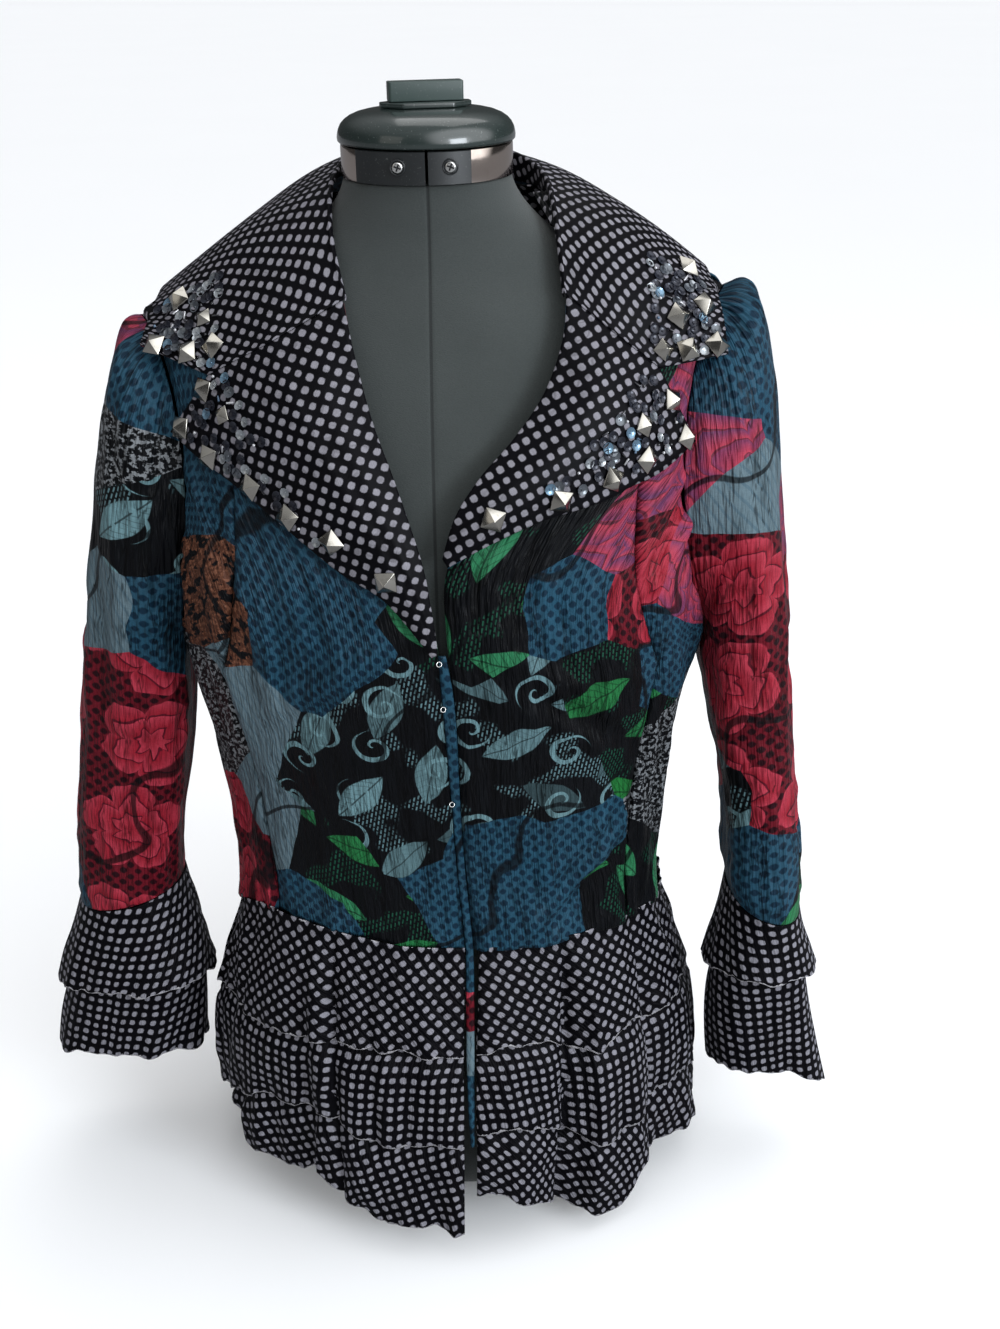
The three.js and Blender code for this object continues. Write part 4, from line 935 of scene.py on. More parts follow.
def add_front(name, side, start, end, offset, seed):
    count = int(max(abs(end - start) * 190 / PANEL_STEP, 8))
    us = np.linspace(start, end, count)
    if side == 'left':
        us = us[::-1]
    base = bodice_point(side, 'front', us[None, :], panel_rows[:, None])
    cut = panel_cut(side, us, panel_rows)
    x, y = cut[..., 0], cut[..., 1]
    across, down = lengths_of(base)
    rim = np.minimum(across, across[:, -1:] - across)
    slant = y + 0.75 * np.abs(x)
    pull = 2.2 * bell(slant, 250, 10) + 2 * bell(slant, 215, 8) - 1.6 * bell(slant, 232, 8)
    low = y - 0.9 * np.abs(x)
    if side == 'right':
        pull = pull + (2.4 * bell(low, -20, 7) - 1.8 * bell(low, -34, 7) + 2 * bell(low, 5, 7))
    raised = crinkle_of(x, y, seed, 1.2 if start == 0 else 1.6) + 1.3 * pull * bell(np.abs(x), 70, 45)
    raised = raised * np.clip(rim / 5, 0.1, 1) - SEAM_DIP * bell(rim, 0, 1.8)
    grid = shift(base, raised + 0.2)
    cloth(name + '_cloth', grid, cut + np.array(offset), far(x.shape), fronts_print, [name],
          base=base)


for side in ('left', 'right'):
    seed = 11 if side == 'left' else 37
    add_front(f'front_{side}', side, 0, PRINCESS_SEAM - HALF_GAP, (0, 0), seed)
    add_front(f'side_front_{side}', side, PRINCESS_SEAM + HALF_GAP, PANEL_END,
              (sign_of(side) * 14, -26), seed + 5)

half_back = np.linspace(0, PANEL_END, 56)
back_base = np.concatenate([
    bodice_point('right', 'back', half_back[::-1][None, :], panel_rows[:, None]),
    bodice_point('left', 'back', half_back[1:][None, :], panel_rows[:, None])], 1)
across, down = lengths_of(back_base)
back_x = across - across[:, 55:56]
rim = np.minimum(across, across[:, -1:] - across)
raised = crinkle_of(back_x, down, 71) * np.clip(rim / 5, 0.1, 1) - SEAM_DIP * bell(rim, 0, 1.8)
cloth('back_cloth', shift(back_base, raised + 0.2), np.stack([back_x, down], -1), far(back_x.shape),
      back_print, ['back'], base=back_base)

strip_heights = np.linspace(95, 457, 130)
strip_share = np.linspace(0, 1, 7)
row = STRIP.at(strip_heights)
strip = point(row['left'][:, None] + (row['right'] - row['left'])[:, None] * strip_share,
              -row['depth'][:, None] - np.sin(np.pi * strip_share) * STRIP_ROUND
              - 0.5 * ripple(0, strip_heights[:, None], 10, 9, 5), strip_heights[:, None])
strip_cut = np.stack([*lengths_of(strip)], -1)
cloth('front_facing_cloth', strip, strip_cut, far(strip.shape[:2]), facing_print,
      ['front_facing_strip'])


# Sleeves and cuff ruffles. Columns start under the arm, where the seam is.
def tube_angles(side, count):
    steps = np.arange(count) * 360 / count
    return 180 + steps if side == 'right' else 180 - steps


def tube_cut(grid):
    """Flat places round a tube's own line, with one more column for the seam."""
    closed = np.concatenate([grid, grid[:, :1]], 1)
    top = grid[0].mean(0)
    run = unit(grid[-1].mean(0) - top)
    out = unit(np.array([np.sign(top[0]), 0, 0]) - run * run[0] * np.sign(top[0]))
    y = (closed - top) @ run
    radial = closed - top - y[..., None] * run
    angle = np.unwrap(np.arctan2(radial @ np.cross(run, out), radial @ out), axis=1)
    angle -= 2 * np.pi * np.round(angle.mean(1, keepdims=True) / (2 * np.pi))
    slope, start = np.polyfit(y.ravel(), np.linalg.norm(radial, axis=-1).ravel(), 1)
    return np.stack([angle * (start + slope * y), y - y.min()], -1)


def add_sleeve(side, print_material, seed):
    ks = np.concatenate([np.linspace(0, 0.1, 16), np.linspace(0.1, 1, 128)[1:]])
    base = sleeve_point(side, ks, tube_angles(side, 112))
    cut = tube_cut(base)
    x, y = cut[:, :-1, 0], cut[:, :-1, 1]
    down = lengths_of(base)[1]
    edge = np.clip(np.minimum(down, down[-1:] - down) / 12, 0, 1)
    around = np.abs((np.arange(x.shape[1]) / x.shape[1] + 0.5) % 1 - 0.5)
    seam = np.clip(around * 14, 0, 1)
    raised = crinkle_of(x, y, seed, 1.3) * seam
    raised = raised + 1.5 * ripple(x + 0.4 * y, y, 45, 13, seed + 7) * bell(y, 235, 75) * seam
    raised = raised + 0.9 * ripple(x - 0.5 * y, y, 38, 10, seed + 8) * bell(y, 370, 60) * seam
    grid = shift(base, raised * edge + 0.1, True)
    cloth(f'sleeve_{side}_cloth', grid, cut, far(x.shape), print_material,
          [f'sleeve_{side}'], wrap=True, base=base)


def hem_wave(run, seed, size=1.0):
    """How far a raw edge wanders up and down."""
    return size * (1.5 * ripple(run, 0, 15, 1, seed) + 0.9 * ripple(run, 0, 6, 1, seed + 3))


def add_cuff(side, tier, seed):
    ks = np.linspace(0, 1, 44)
    base = cuff_point(side, tier, ks, tube_angles(side, 110))
    cut = tube_cut(base)
    x, y = cut[:, :-1, 0], cut[:, :-1, 1]
    share = ks[:, None] * np.ones_like(x)
    down = lengths_of(base)[1]
    hem = down[-1:] - down
    grow = 0.25 + 0.75 * share
    raised = grow * (1.5 * ripple(x, y, 12, 70, seed) + 0.9 * ripple(x, y, 6.5, 30, seed + 1))
    raised = raised + 1.8 * ripple(x, 0, 17, 1, seed + 2) * bell(share, 1, 0.22)
    grid = shift(base, raised + 0.4, True)
    grid[..., 2] += hem_wave(x, seed + 4, 1.6) * share ** 6
    name = f'cuff_{side}_' + ('upper' if tier == 0 else 'lower')
    cloth(name + '_ruffle', grid, cut, hem, ruffle_cloth, [name],
          wrap=True, base=base)


for side, print_material, seed in (('left', left_sleeve_print, 101), ('right', right_sleeve_print, 131)):
    add_sleeve(side, print_material, seed)
    for tier in (0, 1):
        add_cuff(side, tier, seed + 20 + 5 * tier)


# Peplum: three ruffles on the same folds, so that they nest
HEADING = 3.4  # the upper ruffle's raw top edge stands this far above the waist seam
HEADING_POKE = 9  # and this much more behind the side seams, where it has turned up
TIER_GRAIN = (45, 0, 24)  # how far the dots are turned on each ruffle, in degrees
# Sharp pleats: angle round the body, width, and how far they stand out or sink in
PEPLUM_CREASES = Table('angle width depth', '''
  -28 1.3 -6.5 / -33 1.8 3 / -60 1.4 -4 / -18 1 -3 / 28 1.2 -8.5 / 35 2.4 6 / 54 1.2 -4 /
  74 1.2 -3 / 112 1.6 -3 / 150 1.6 3 / -150 1.6 -3 / -105 1.6 3''')


def add_ruffle(tier, part, angles):
    name = ('upper', 'middle', 'lower')[tier]
    ks = np.linspace(1, 0, 50)[:, None]
    wrapped = np.where(angles > 180, angles - 360, angles)
    if part == 'back':
        base = np.where((angles <= 180)[None, :, None], peplum_point(tier, 'right', wrapped, ks),
                        peplum_point(tier, 'left', wrapped, ks))
    else:
        base = peplum_point(tier, part, wrapped, ks)
    across, down = lengths_of(base)
    middle = across.shape[1] // 2
    x = across - across[:, middle:middle + 1]
    y = down[-1:] - down
    around = angles[None, :] * 2.7 + 0 * x
    share = ks + 0 * x
    grow = np.clip(0.3 + 1.2 * share, 0, 1.2)
    height = base[..., 2]
    raised = grow * (2.9 * ripple(around, height, 14, 75, 201) + 1.5 * ripple(around, height, 7, 34, 202))
    raised = raised + 0.8 * ripple(around + 0.3 * height, height, 22, 16, 203)
    for place, width, deep in PEPLUM_CREASES.rows:
        raised = raised + deep * grow * np.exp(-np.abs(wrapped - place) / width)[None, :]
    raised = raised + 2.1 * ripple(around, 0, 15, 1, 204 + tier) * bell(share, 1, 0.16)
    grid = shift(base, raised)
    grid[..., 2] -= hem_wave(around, 210 + tier, 1.9) * share ** 8
    if tier == 0:
        rise = np.clip(1 - share / 0.07, 0, 1)
        crimped = 0.6 * ripple(around, 0, 5, 1, 220) + 0.5 * ripple(around, 0, 11, 1, 221)
        poke = bell(np.abs(wrapped), 106, 9)[None, :] * HEADING_POKE
        crimped = crimped * (1 + 0.2 * poke)
        grid[..., 2] += rise * (HEADING + crimped + poke)
        outwards = normals_of(base)
        outwards[..., 2] = 0
        grid += outwards * (rise * (1.9 + crimped + 0.6 * poke))[..., None]
    hem = np.minimum(down, down[-1:] - down + 0.9) if tier == 0 else down
    cut = turned(np.stack([x, y], -1), TIER_GRAIN[tier])
    cloth(f'peplum_{name}_{part}_ruffle', grid, cut, hem, ruffle_cloth,
          [f'peplum_{name}_{part}'], base=base)


for tier in range(3):
    add_ruffle(tier, 'left', np.linspace(-90 + SIDE_GAP / 3, PEPLUM_OPENING['left'], 112))
    add_ruffle(tier, 'right', np.linspace(PEPLUM_OPENING['right'], 90 - SIDE_GAP / 3, 104))
    add_ruffle(tier, 'back', np.linspace(90 + SIDE_GAP / 3, 270 - SIDE_GAP / 3, 200))


# Lapels and collar
def plane_cut(grid, along):
    """Flat places of a nearly flat piece, measured along a direction and across it."""
    normal = unit(normals_of(grid).mean((0, 1)))
    run = unit(along - normal * along.dot(normal))
    return np.stack([grid @ np.cross(run, normal), grid @ run], -1)


COLLAR_FOLD_RADIUS = 208  # of the flat cut, from the fold's and the edge's lengths
COLLAR_SWEEP = 1.92  # radians that the flat cut runs round
COLLAR_LEAN = math.radians(10)  # how far it lies turned on the print
vs = np.linspace(1, 0, 150)
fall_us = np.linspace(0, 1, 46)
row = COLLAR.along(vs)
fold = xyz(row, 'f')
outwards = point(row['fx'], row['fy'] - NECK_MIDDLE_Y, 0)
outwards /= np.linalg.norm(outwards, axis=-1, keepdims=True)
inner = fold - outwards * COLLAR_TURN
foot = inner + outwards
foot[:, 2] -= row['stand']
turn = [foot + (inner - foot) * share for share in (0, 0.25, 0.5, 0.75)]
for angle in np.radians([180, 150, 120, 90, 60, 30]):
    middle = (fold + inner) / 2
    turn.append(middle + outwards * COLLAR_TURN / 2 * math.cos(angle)
                + np.array([0, 0, COLLAR_TURN / 2 * math.sin(angle)]))
u, v = np.meshgrid(fall_us, vs)
ends = np.clip(np.minimum(v, 1 - v) / 0.1, 0, 1)
raised = 1.2 * ripple(u * 100, v * 600, 45, 60, 311) * np.sin(np.pi * u) * ends
base = np.concatenate([np.stack(turn, 1), shift(collar_point(u, v), raised)], 1)
across, _ = lengths_of(base)
out = across - across[:, len(turn):len(turn) + 1]
swing = (vs - 0.5)[:, None] * COLLAR_SWEEP + COLLAR_LEAN
radius = COLLAR_FOLD_RADIUS + out
collar_cut = np.stack([radius * np.sin(swing), radius * np.cos(swing)], -1)
cloth('collar_cloth', base, collar_cut, far(out.shape), collar_cloth, ['collar'],
      wall=0.9, lining=collar_lining,
      joined_edge=np.concatenate([base[end][:len(turn) + (fall_us < COLLAR_NOTCH_PLACE).sum()]
                                  for end in (0, -1)]))


def match_places(places, targets):
    """The turn and the shift that bring some flat places closest to others."""
    a, b = places - places.mean(0), targets - targets.mean(0)
    angle = math.atan2((a[:, 0] * b[:, 1] - a[:, 1] * b[:, 0]).sum(), (a * b).sum())
    turn = np.array([[math.cos(angle), math.sin(angle)], [-math.sin(angle), math.cos(angle)]])
    return turn, targets.mean(0) - places.mean(0) @ turn


def add_lapel(side):
    us = np.linspace(0, 1, 44)
    if side == 'left':
        us = us[::-1]
    vs = np.linspace(1, 0, 70)
    u, v = np.meshgrid(us, vs)
    base = lapel_point(side, u, v)
    fold = LAPEL[side]['fold'].rows
    cut = plane_cut(base, fold[0] - fold[-1])
    shares = np.linspace(0, 1, 30)
    own = us if side == 'right' else us[::-1]
    top = cut[-1] if side == 'right' else cut[-1, ::-1]
    places = np.stack([np.interp(shares * LAPEL_NOTCH_PLACE, own, top[:, i]) for i in (0, 1)], -1)
    collar_end = collar_cut[0 if side == 'right' else -1, -len(fall_us):]
    targets = np.stack([np.interp(shares * COLLAR_NOTCH_PLACE, fall_us, collar_end[:, i])
                        for i in (0, 1)], -1)
    turn, move = match_places(places, targets)
    cut = cut @ turn + move
    raised = 0.7 * ripple(u * 100, v * 100, 34, 40, 301) * np.sin(np.pi * u) * np.sin(np.pi * v)
    raised = raised + 1.6 * bell(u, 0.2, 0.07) * np.sin(np.pi * v) * (side == 'left')
    grid = shift(base, raised)
    cloth(f'lapel_{side}_cloth', grid, cut, far(u.shape), collar_cloth,
          [f'lapel_{side}'], base=base, lining=collar_lining,
          joined_edge=grid[-1][us < LAPEL_NOTCH_PLACE])


for side in ('left', 'right'):
    add_lapel(side)


# Dress form
FORM_SEAM = 1.5  # x of the form's middle seam
FORM_TOP = 714


def ring_of(row, angle, power):
    s = signed_power(np.sin(angle), power)
    c = signed_power(np.cos(angle), power)
    return point(row['half'] * s, -np.where(c > 0, row['front'], row['back']) * c, row['z'])


heights = np.unique(np.concatenate([np.linspace(0, 60, 24), np.linspace(60, 600, 110),
                                    np.linspace(600, FORM_TOP, 64)]))
angles = np.unique(np.concatenate([np.linspace(-180, 180, 121)[:-1], np.linspace(-4, 8, 25)]))
row = {name: value[:, None] for name, value in FORM.at(heights).items()}
body = ring_of(row, np.radians(-angles)[None, :], 2 / FORM_SQUARENESS)[:, ::-1]
groove = bell(body[..., 0], FORM_SEAM, 1.0)
body = shift(body, -0.7 * groove * (row['z'] > 10), True)
points = np.concatenate([body.reshape(-1, 3), [[0, 0, 0], [0, 0, FORM_TOP]]]) * MM
rows, columns = body.shape[:2]
faces = grid_faces(rows, columns, True).tolist()
for c in range(columns):
    nxt = (c + 1) % columns
    faces.append([nxt, c, rows * columns])
    faces.append([(rows - 1) * columns + c, (rows - 1) * columns + nxt, rows * columns + 1])
form = mesh_object('form_cover', points, faces)
form.data.polygons.foreach_set('use_smooth', np.ones(len(faces), bool))

jersey, g = new_material('form_jersey', Sheen_Weight=0.12, Sheen_Roughness=0.6, Specular_IOR_Level=0.2)
place = g.place()
knit = g.noise(place * (900, 900, 2600), 1, 1)
seam = 1 - g.step(abs(g.split(place)[0] - FORM_SEAM * MM), 0.0005, 0.0013)
tone = g.mix(g.noise(place, 18, 3), (0.034, 0.04, 0.0385), (0.056, 0.0645, 0.062))
tone = g.mix(knit * 0.6, tone, (0.022, 0.026, 0.026))
g.shade(Base_Color=g.mix(seam * 0.8, tone, (0.012, 0.014, 0.014)), Roughness=knit * 0.15 + 0.78,
        Normal=g.bump(knit, 0.0005, 0.6))
form.data.materials.append(jersey)
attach(form, 'root')
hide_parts('form_torso')


# Hard pieces, modelled one by one
def start_edit(obj, mode='VERT', picked='DESELECT'):
    select_only(obj)
    bpy.ops.object.mode_set(mode='EDIT')
    bpy.ops.mesh.select_mode(type=mode)
    bpy.ops.mesh.select_all(action=picked)
    return bmesh.from_edit_mesh(obj.data)


def leave_edit():
    bpy.ops.object.mode_set(mode='OBJECT')


def settle(obj):
    """Puts the object's place into its mesh."""
    select_only(obj)
    bpy.ops.object.transform_apply(location=True, rotation=True, scale=True)


def added(name, scale=(1, 1, 1)):
    """The primitive that was just added, named, scaled and settled."""
    obj = bpy.context.active_object
    obj.name, obj.scale = name, scale
    settle(obj)
    return obj


def bevel(obj, width, segments=2, angle=30):
    modify(obj, 'BEVEL', width=width, segments=segments, limit_method='ANGLE',
           angle_limit=math.radians(angle))


def smooth(obj, degrees):
    select_only(obj)
    bpy.ops.object.shade_smooth_by_angle(angle=math.radians(degrees))


def finished(obj, material, nodes=(), soft=None):
    """The last steps of a hard piece. soft is the angle in degrees below which edges look rounded."""
    if soft is not None:
        smooth(obj, soft)
    obj.data.materials.clear()
    obj.data.materials.append(material)
    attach(obj, 'root')
    if nodes:
        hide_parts(*nodes)
    return obj


def spun_piece(name, profile, middle, steps=96):
    """A round piece from its profile of radius and height, in metres, closed on the axis."""
    obj = mesh_object(name, [(r, 0, z) for r, z in profile], [],
                      [(i, i + 1) for i in range(len(profile) - 1)])
    start_edit(obj, picked='SELECT')
    bpy.ops.mesh.spin(steps=steps, angle=2 * math.pi, center=(0, 0, 0), axis=(0, 0, 1))
    bpy.ops.mesh.select_all(action='SELECT')
    bpy.ops.mesh.remove_doubles(threshold=1e-6)
    bpy.ops.mesh.normals_make_consistent(inside=False)
    leave_edit()
    obj.location = middle
    settle(obj)
    return obj


def add_ring(name, middle, turn, radius, wire, segments, material):
    """A ring of round wire."""
    bpy.ops.object.select_all(action='DESELECT')
    bpy.ops.mesh.primitive_torus_add(major_segments=segments, minor_segments=8, major_radius=radius,
                                     minor_radius=wire, location=middle, rotation=turn)
    finished(added(name), material, soft=60)


def worn_metal(name, tone, dark, rough, scale, grime):
    material, g = new_material(name, Metallic=1.0)
    place = g.place()
    cloud = g.noise(place, scale, 3, 0.6)
    mask = g.step(cloud, 0.5, 0.8)
    scratch = g.noise(place * (scale * 2, scale * 2, scale * 9), 1)
    g.shade(Base_Color=g.mix(mask * grime, tone, dark), Normal=g.bump(cloud, 0.00002, 0.3),
            Roughness=mask * 0.12 + (scratch * 0.06 + rough))
    return material


def plastic(name, tone, rough, coat):
    material, g = new_material(name, Coat_Weight=coat, Coat_Roughness=0.08, Specular_IOR_Level=0.5)
    specks = g.step(g.noise(g.place(), 900, 1), 0.68, 0.74)
    g.shade(Base_Color=g.mix(specks * 0.25, tone, (0.2, 0.21, 0.2)),
            Roughness=g.noise(g.place(), 45, 3) * 0.2 + rough)
    return material


pewter = worn_metal('aged_pewter', (0.45, 0.43, 0.385), (0.16, 0.145, 0.115), 0.14, 210.0, 0.4)
steel = worn_metal('screw_steel', (0.72, 0.72, 0.7), (0.3, 0.29, 0.27), 0.22, 300.0, 0.4)
chrome = worn_metal('tinted_chrome', (0.5, 0.43, 0.385), (0.3, 0.24, 0.2), 0.07, 60.0, 0.5)
dome_plastic = plastic('gloss_plastic', (0.018, 0.027, 0.025), 0.12, 0.6)
# Dark plastic of the band's plates and screw rims, also used as painted shade inside the screw recesses.
plate_plastic_and_recess_shade = plastic('satin_plastic_and_recess_shade', (0.009, 0.011, 0.012), 0.3, 0.1)
knob_plastic = plastic('matte_green_plastic', (0.03, 0.05, 0.045), 0.38, 0.1)

NECK_MIDDLE = (0, (BAND['back'] - BAND['front']) / 2 * MM, 0)
# The dome's outline: share of its half width, and height
DOME_OUTLINE = Table('share z', '''
  0 734 / 0.95 734 / 0.985 734.3 / 1 735.2 / 1.003 737 / 0.998 739.2 / 0.985 741.8 / 0.96 744.3 /
  0.92 746.6 / 0.86 748.7 / 0.78 750.4 / 0.68 751.6 / 0.56 752.3 / 0.42 752.6 / 0 752.6''')
dome_radius = DOME_HALF * MM
dome = spun_piece('neck_dome_shell', [(share * dome_radius, z * MM) for share, z in DOME_OUTLINE.rows],
                  NECK_MIDDLE)
finished(dome, dome_plastic, ['neck_dome'], soft=50)

# The band's outline: radius in metres, and height in millimetres
BAND_OUTLINE = Table('radius z', '''
  0 714.6 / 0.0485 714.6 / 0.0502 714.6 / 0.0508 715 / 0.051 715.8 / 0.051 732.2 / 0.0508 733 /
  0.0502 733.4 / 0 733.4''')
for side in ('left', 'right'):
    band = spun_piece(f'neck_band_shell_{side}', [(r, z * MM) for r, z in BAND_OUTLINE.rows], NECK_MIDDLE)
    start_edit(band, picked='SELECT')
    cut_x = (FORM_SEAM + sign_of(side) * BAND['split']) * MM
    bpy.ops.mesh.bisect(plane_co=(cut_x, 0, 0), plane_no=(1, 0, 0), use_fill=True,
                        clear_inner=side == 'right', clear_outer=side == 'left')
    leave_edit()
    bevel(band, 0.0004, 2, 50)
    finished(band, chrome, [f'neck_band_{side}'], soft=40)

# Dark front plates of the band, each a bent plate
for side, start, end in (('left', -50, 0.72), ('right', 2.65, 31)):
    turns = np.radians(np.linspace(start, end, 40))
    heights = np.array([714.8, 715.2, 732.9, 733.3])
    proud = np.array([51.2, 51.9, 51.9, 51.2])
    outer = point(proud[:, None] * np.sin(turns), NECK_MIDDLE[1] / MM - proud[:, None] * np.cos(turns),
                  heights[:, None] + 0 * turns)
    plate = mesh_object(f'neck_front_plate_{side}', outer.reshape(-1, 3) * MM,
                        grid_faces(4, 40).tolist())
    modify(plate, 'SOLIDIFY', thickness=0.0008, offset=-1)
    finished(plate, plate_plastic_and_recess_shade, soft=30)

SCREW_HEAD = 3.1  # radius of a screw's head; its hole is as wide as the solid
FACING_FRONT = (math.pi / 2, 0, 0)


def add_screw(side):
    """A pan-head screw with a cross recess, seen from the front."""
    low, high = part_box(f'neck_screw_{side}')
    middle = (Vector(low) + Vector(high)) / 2
    radius = SCREW_HEAD * MM
    bpy.ops.object.select_all(action='DESELECT')
    bpy.ops.mesh.primitive_cylinder_add(vertices=32, radius=radius, depth=0.0022, location=middle,
                                        rotation=FACING_FRONT)
    head = added(f'neck_screw_head_{side}')
    bevel(head, 0.0009, 4)
    for angle in (20, 110):
        bpy.ops.object.select_all(action='DESELECT')
        bpy.ops.mesh.primitive_cube_add(size=1, location=middle + Vector((0, -0.0011, 0)),
                                        rotation=(0, math.radians(angle), 0))
        blade = added('blade', (radius * 1.35, 0.0022, radius * 0.3))
        modify(head, 'BOOLEAN', object=blade, operation='DIFFERENCE', solver='EXACT')
        bpy.data.objects.remove(blade, do_unlink=True)
    finished(head, steel, [f'neck_screw_{side}'], soft=30)
    head.data.materials.append(plate_plastic_and_recess_shade)
    # Faces inside the cross recess take the dark plastic: painted shade in the recess.
    for face in head.data.polygons:
        across = math.hypot(face.center.x - middle.x, face.center.z - middle.z)
        if face.center.y > middle.y - 0.0008 and across < radius * 0.75 and face.normal.y < 0.5:
            face.material_index = 1
    add_ring(f'neck_screw_rim_{side}', middle + Vector((0, 0.0004, 0)), FACING_FRONT, 0.0041, 0.00045,
             32, plate_plastic_and_recess_shade)


for side in ('left', 'right'):
    add_screw(side)


def cut_plate(name, size, material, edge, node):
    """A flat block with cut corners and softened edges, turned as the knob stands."""
    bpy.ops.object.select_all(action='DESELECT')
    bpy.ops.mesh.primitive_cube_add(size=1, location=(0, 0, (size['bottom'] + size['height'] / 2) * MM))
    block = added(name, (size['width'] * MM, size['depth'] * MM, size['height'] * MM))
    mesh = start_edit(block, 'EDGE')
    for e in mesh.edges:
        a, b = e.verts
        if abs(a.co.z - b.co.z) > 0.5 * size['height'] * MM:
            e.select_set(True)
    bmesh.update_edit_mesh(block.data)
    bpy.ops.mesh.bevel(offset=size['corner'] * MM, segments=1)
    leave_edit()
    bevel(block, edge, 3)
    block.rotation_euler = (0, 0, math.radians(KNOB_TURN))
    settle(block)
    finished(block, material, [node], soft=40)


cut_plate('neck_knob_base', KNOB_PLATE, dome_plastic, 0.0008, 'neck_knob_plate')
cut_plate('neck_knob_grip', KNOB, knob_plastic, 0.0006, 'neck_knob')

# Small wire eyes sewn to the front edge
for number, height in enumerate((348, 420, 452), 1):
    row = STRIP.at(np.array(height))
    middle = Vector((row['left'] + 0.3, -row['depth'] - 1.2, height)) * MM
    add_ring(f'front_eye_{number}', middle, (math.radians(62), 0, math.radians(12)), 0.0015, 0.0003, 24,
             steel)


# Studs: one is modelled, and copied to each place
STUD_BASE = 0.09  # a stud's straight part under its pyramid, as a share of its side


def stud_frame(surface, across, along, turn):
    step = 0.01
    at = surface(across, along)
    right = surface(across + step, along) - surface(across - step, along)
    up = surface(across, min(along + step, 1)) - surface(across, max(along - step, 0))
    normal, right = unit(np.cross(right, up)), unit(right)
    if normal[2] < normal[1]:
        normal = -normal
    other = np.cross(normal, right)
    a = math.radians(turn)
    right = right * math.cos(a) + other * math.sin(a)
    return at, right, np.cross(normal, right), normal


def stud_pattern():
    """A pyramid stud of unit side on a thin plate, with softened ridges."""
    bpy.ops.object.select_all(action='DESELECT')
    bpy.ops.mesh.primitive_cone_add(vertices=4, radius1=math.sqrt(0.5), radius2=0.03,
                                    depth=STUD_STEEPNESS, location=(0, 0, STUD_STEEPNESS / 2 + STUD_BASE),
                                    rotation=(0, 0, math.pi / 4))
    stud = added('pattern_stud')
    mesh = start_edit(stud, 'FACE')
    for face in mesh.faces:
        if face.normal.z < -0.9:
            face.select_set(True)
    bmesh.update_edit_mesh(stud.data)
    bpy.ops.mesh.extrude_region_move(TRANSFORM_OT_translate={'value': (0, 0, -STUD_BASE)})
    leave_edit()
    bevel(stud, 0.028, 2, 20)
    smooth(stud, 24)
    return stud


pattern_stud = stud_pattern()
SURFACES = {
    'collar': collar_point,
    'lapel_left': lambda u, v: lapel_point('left', u, v),
    'lapel_right': lambda u, v: lapel_point('right', u, v),
}
for piece, table_of_studs in STUDS.items():
    for number, (across, along, size, turn) in enumerate(table_of_studs.rows, 1):
        at, right, up, normal = stud_frame(SURFACES[piece], across, along, turn)
        at = at + normal * STUD_LIFT
        stud = linked(f'stud_{piece}_{number}_cap', pattern_stud.data.copy())
        lean = np.eye(4)
        for axis, direction in enumerate((right, up, normal)):
            lean[:3, axis] = direction * size * MM
        lean[:3, 3] = at * MM
        stud.data.transform(Matrix(lean.tolist()))
        finished(stud, pewter, [f'stud_{piece}_{number}'])
bpy.data.objects.remove(pattern_stud, do_unlink=True)


# Sequins and beads, strewn in a band along the tips
BEAD_APART = 3.6  # least distance between the middles of two beads
STUD_APART = 8.5  # and of a bead's from a stud's
MOST_TRIES = 30  # for each bead of a zone, after which it is left with fewer


def strewn(zones, seed):
    """Places on the collar and lapels: zones of surface, across range, along range and how many."""
    luck = np.random.default_rng(seed)
    for piece, (u0, u1), (v0, v1), count in zones:
        studs = [stud_frame(SURFACES[piece], r[0], r[1], 0)[0] for r in STUDS[piece].rows]
        taken = list(studs)
        tries = 0
        while len(taken) - len(studs) < count and tries < count * MOST_TRIES:
            tries += 1
            u, v = luck.uniform(u0, u1), luck.uniform(v0, v1)
            at, right, up, normal = stud_frame(SURFACES[piece], u, v, luck.uniform(0, 360))
            if min(np.linalg.norm(at - other) for other in taken) < BEAD_APART:
                continue
            if min(np.linalg.norm(at - other) for other in studs) < STUD_APART:
                continue
            taken.append(at)
            yield at, right, up, normal, luck.uniform()


BEADED = [
    ('collar', (0.6, 0.95), (0.008, 0.13), 48), ('collar', (0.6, 0.95), (0.86, 0.992), 50),
    ('lapel_left', (0.66, 0.96), (0.02, 0.3), 34), ('lapel_left', (0.78, 0.93), (0.3, 0.62), 12),
    ('lapel_right', (0.62, 0.96), (0.02, 0.36), 42), ('lapel_right', (0.68, 0.9), (0.36, 0.62), 10),
]


def joined(name, shapes, material):
    """One mesh of many small shapes; each shape's chance number goes into the map 'tint'."""
    points, faces, tints = [], [], []
    for shape_points, shape_faces, tint in shapes:
        start = len(points)
        points.extend(shape_points)
        faces.extend([[start + i for i in face] for face in shape_faces])
        tints.extend([tint] * sum(len(face) for face in shape_faces))
    obj = mesh_object(name, np.array(points) * MM, faces)
    layer = obj.data.uv_layers.new(name='tint')
    layer.data.foreach_set('uv', np.repeat(np.array(tints, np.float32), 2))
    return finished(obj, material, soft=60)


def revolve(profile, at, right, up, normal, sides):
    """Rings of a small round shape; profile rows are radius and height, in mm."""
    points, faces = [], []
    for radius, height in profile:
        for i in range(sides):
            a = 2 * math.pi * i / sides
            points.append(at + right * radius * math.cos(a) + up * radius * math.sin(a) + normal * height)
    last = len(profile) - 1
    for r in range(last):
        for i in range(sides):
            j = (i + 1) % sides
            faces.append([r * sides + i, r * sides + j, (r + 1) * sides + j, (r + 1) * sides + i])
    faces.append(list(range(sides))[::-1])
    faces.append([last * sides + i for i in range(sides)])
    return points, faces


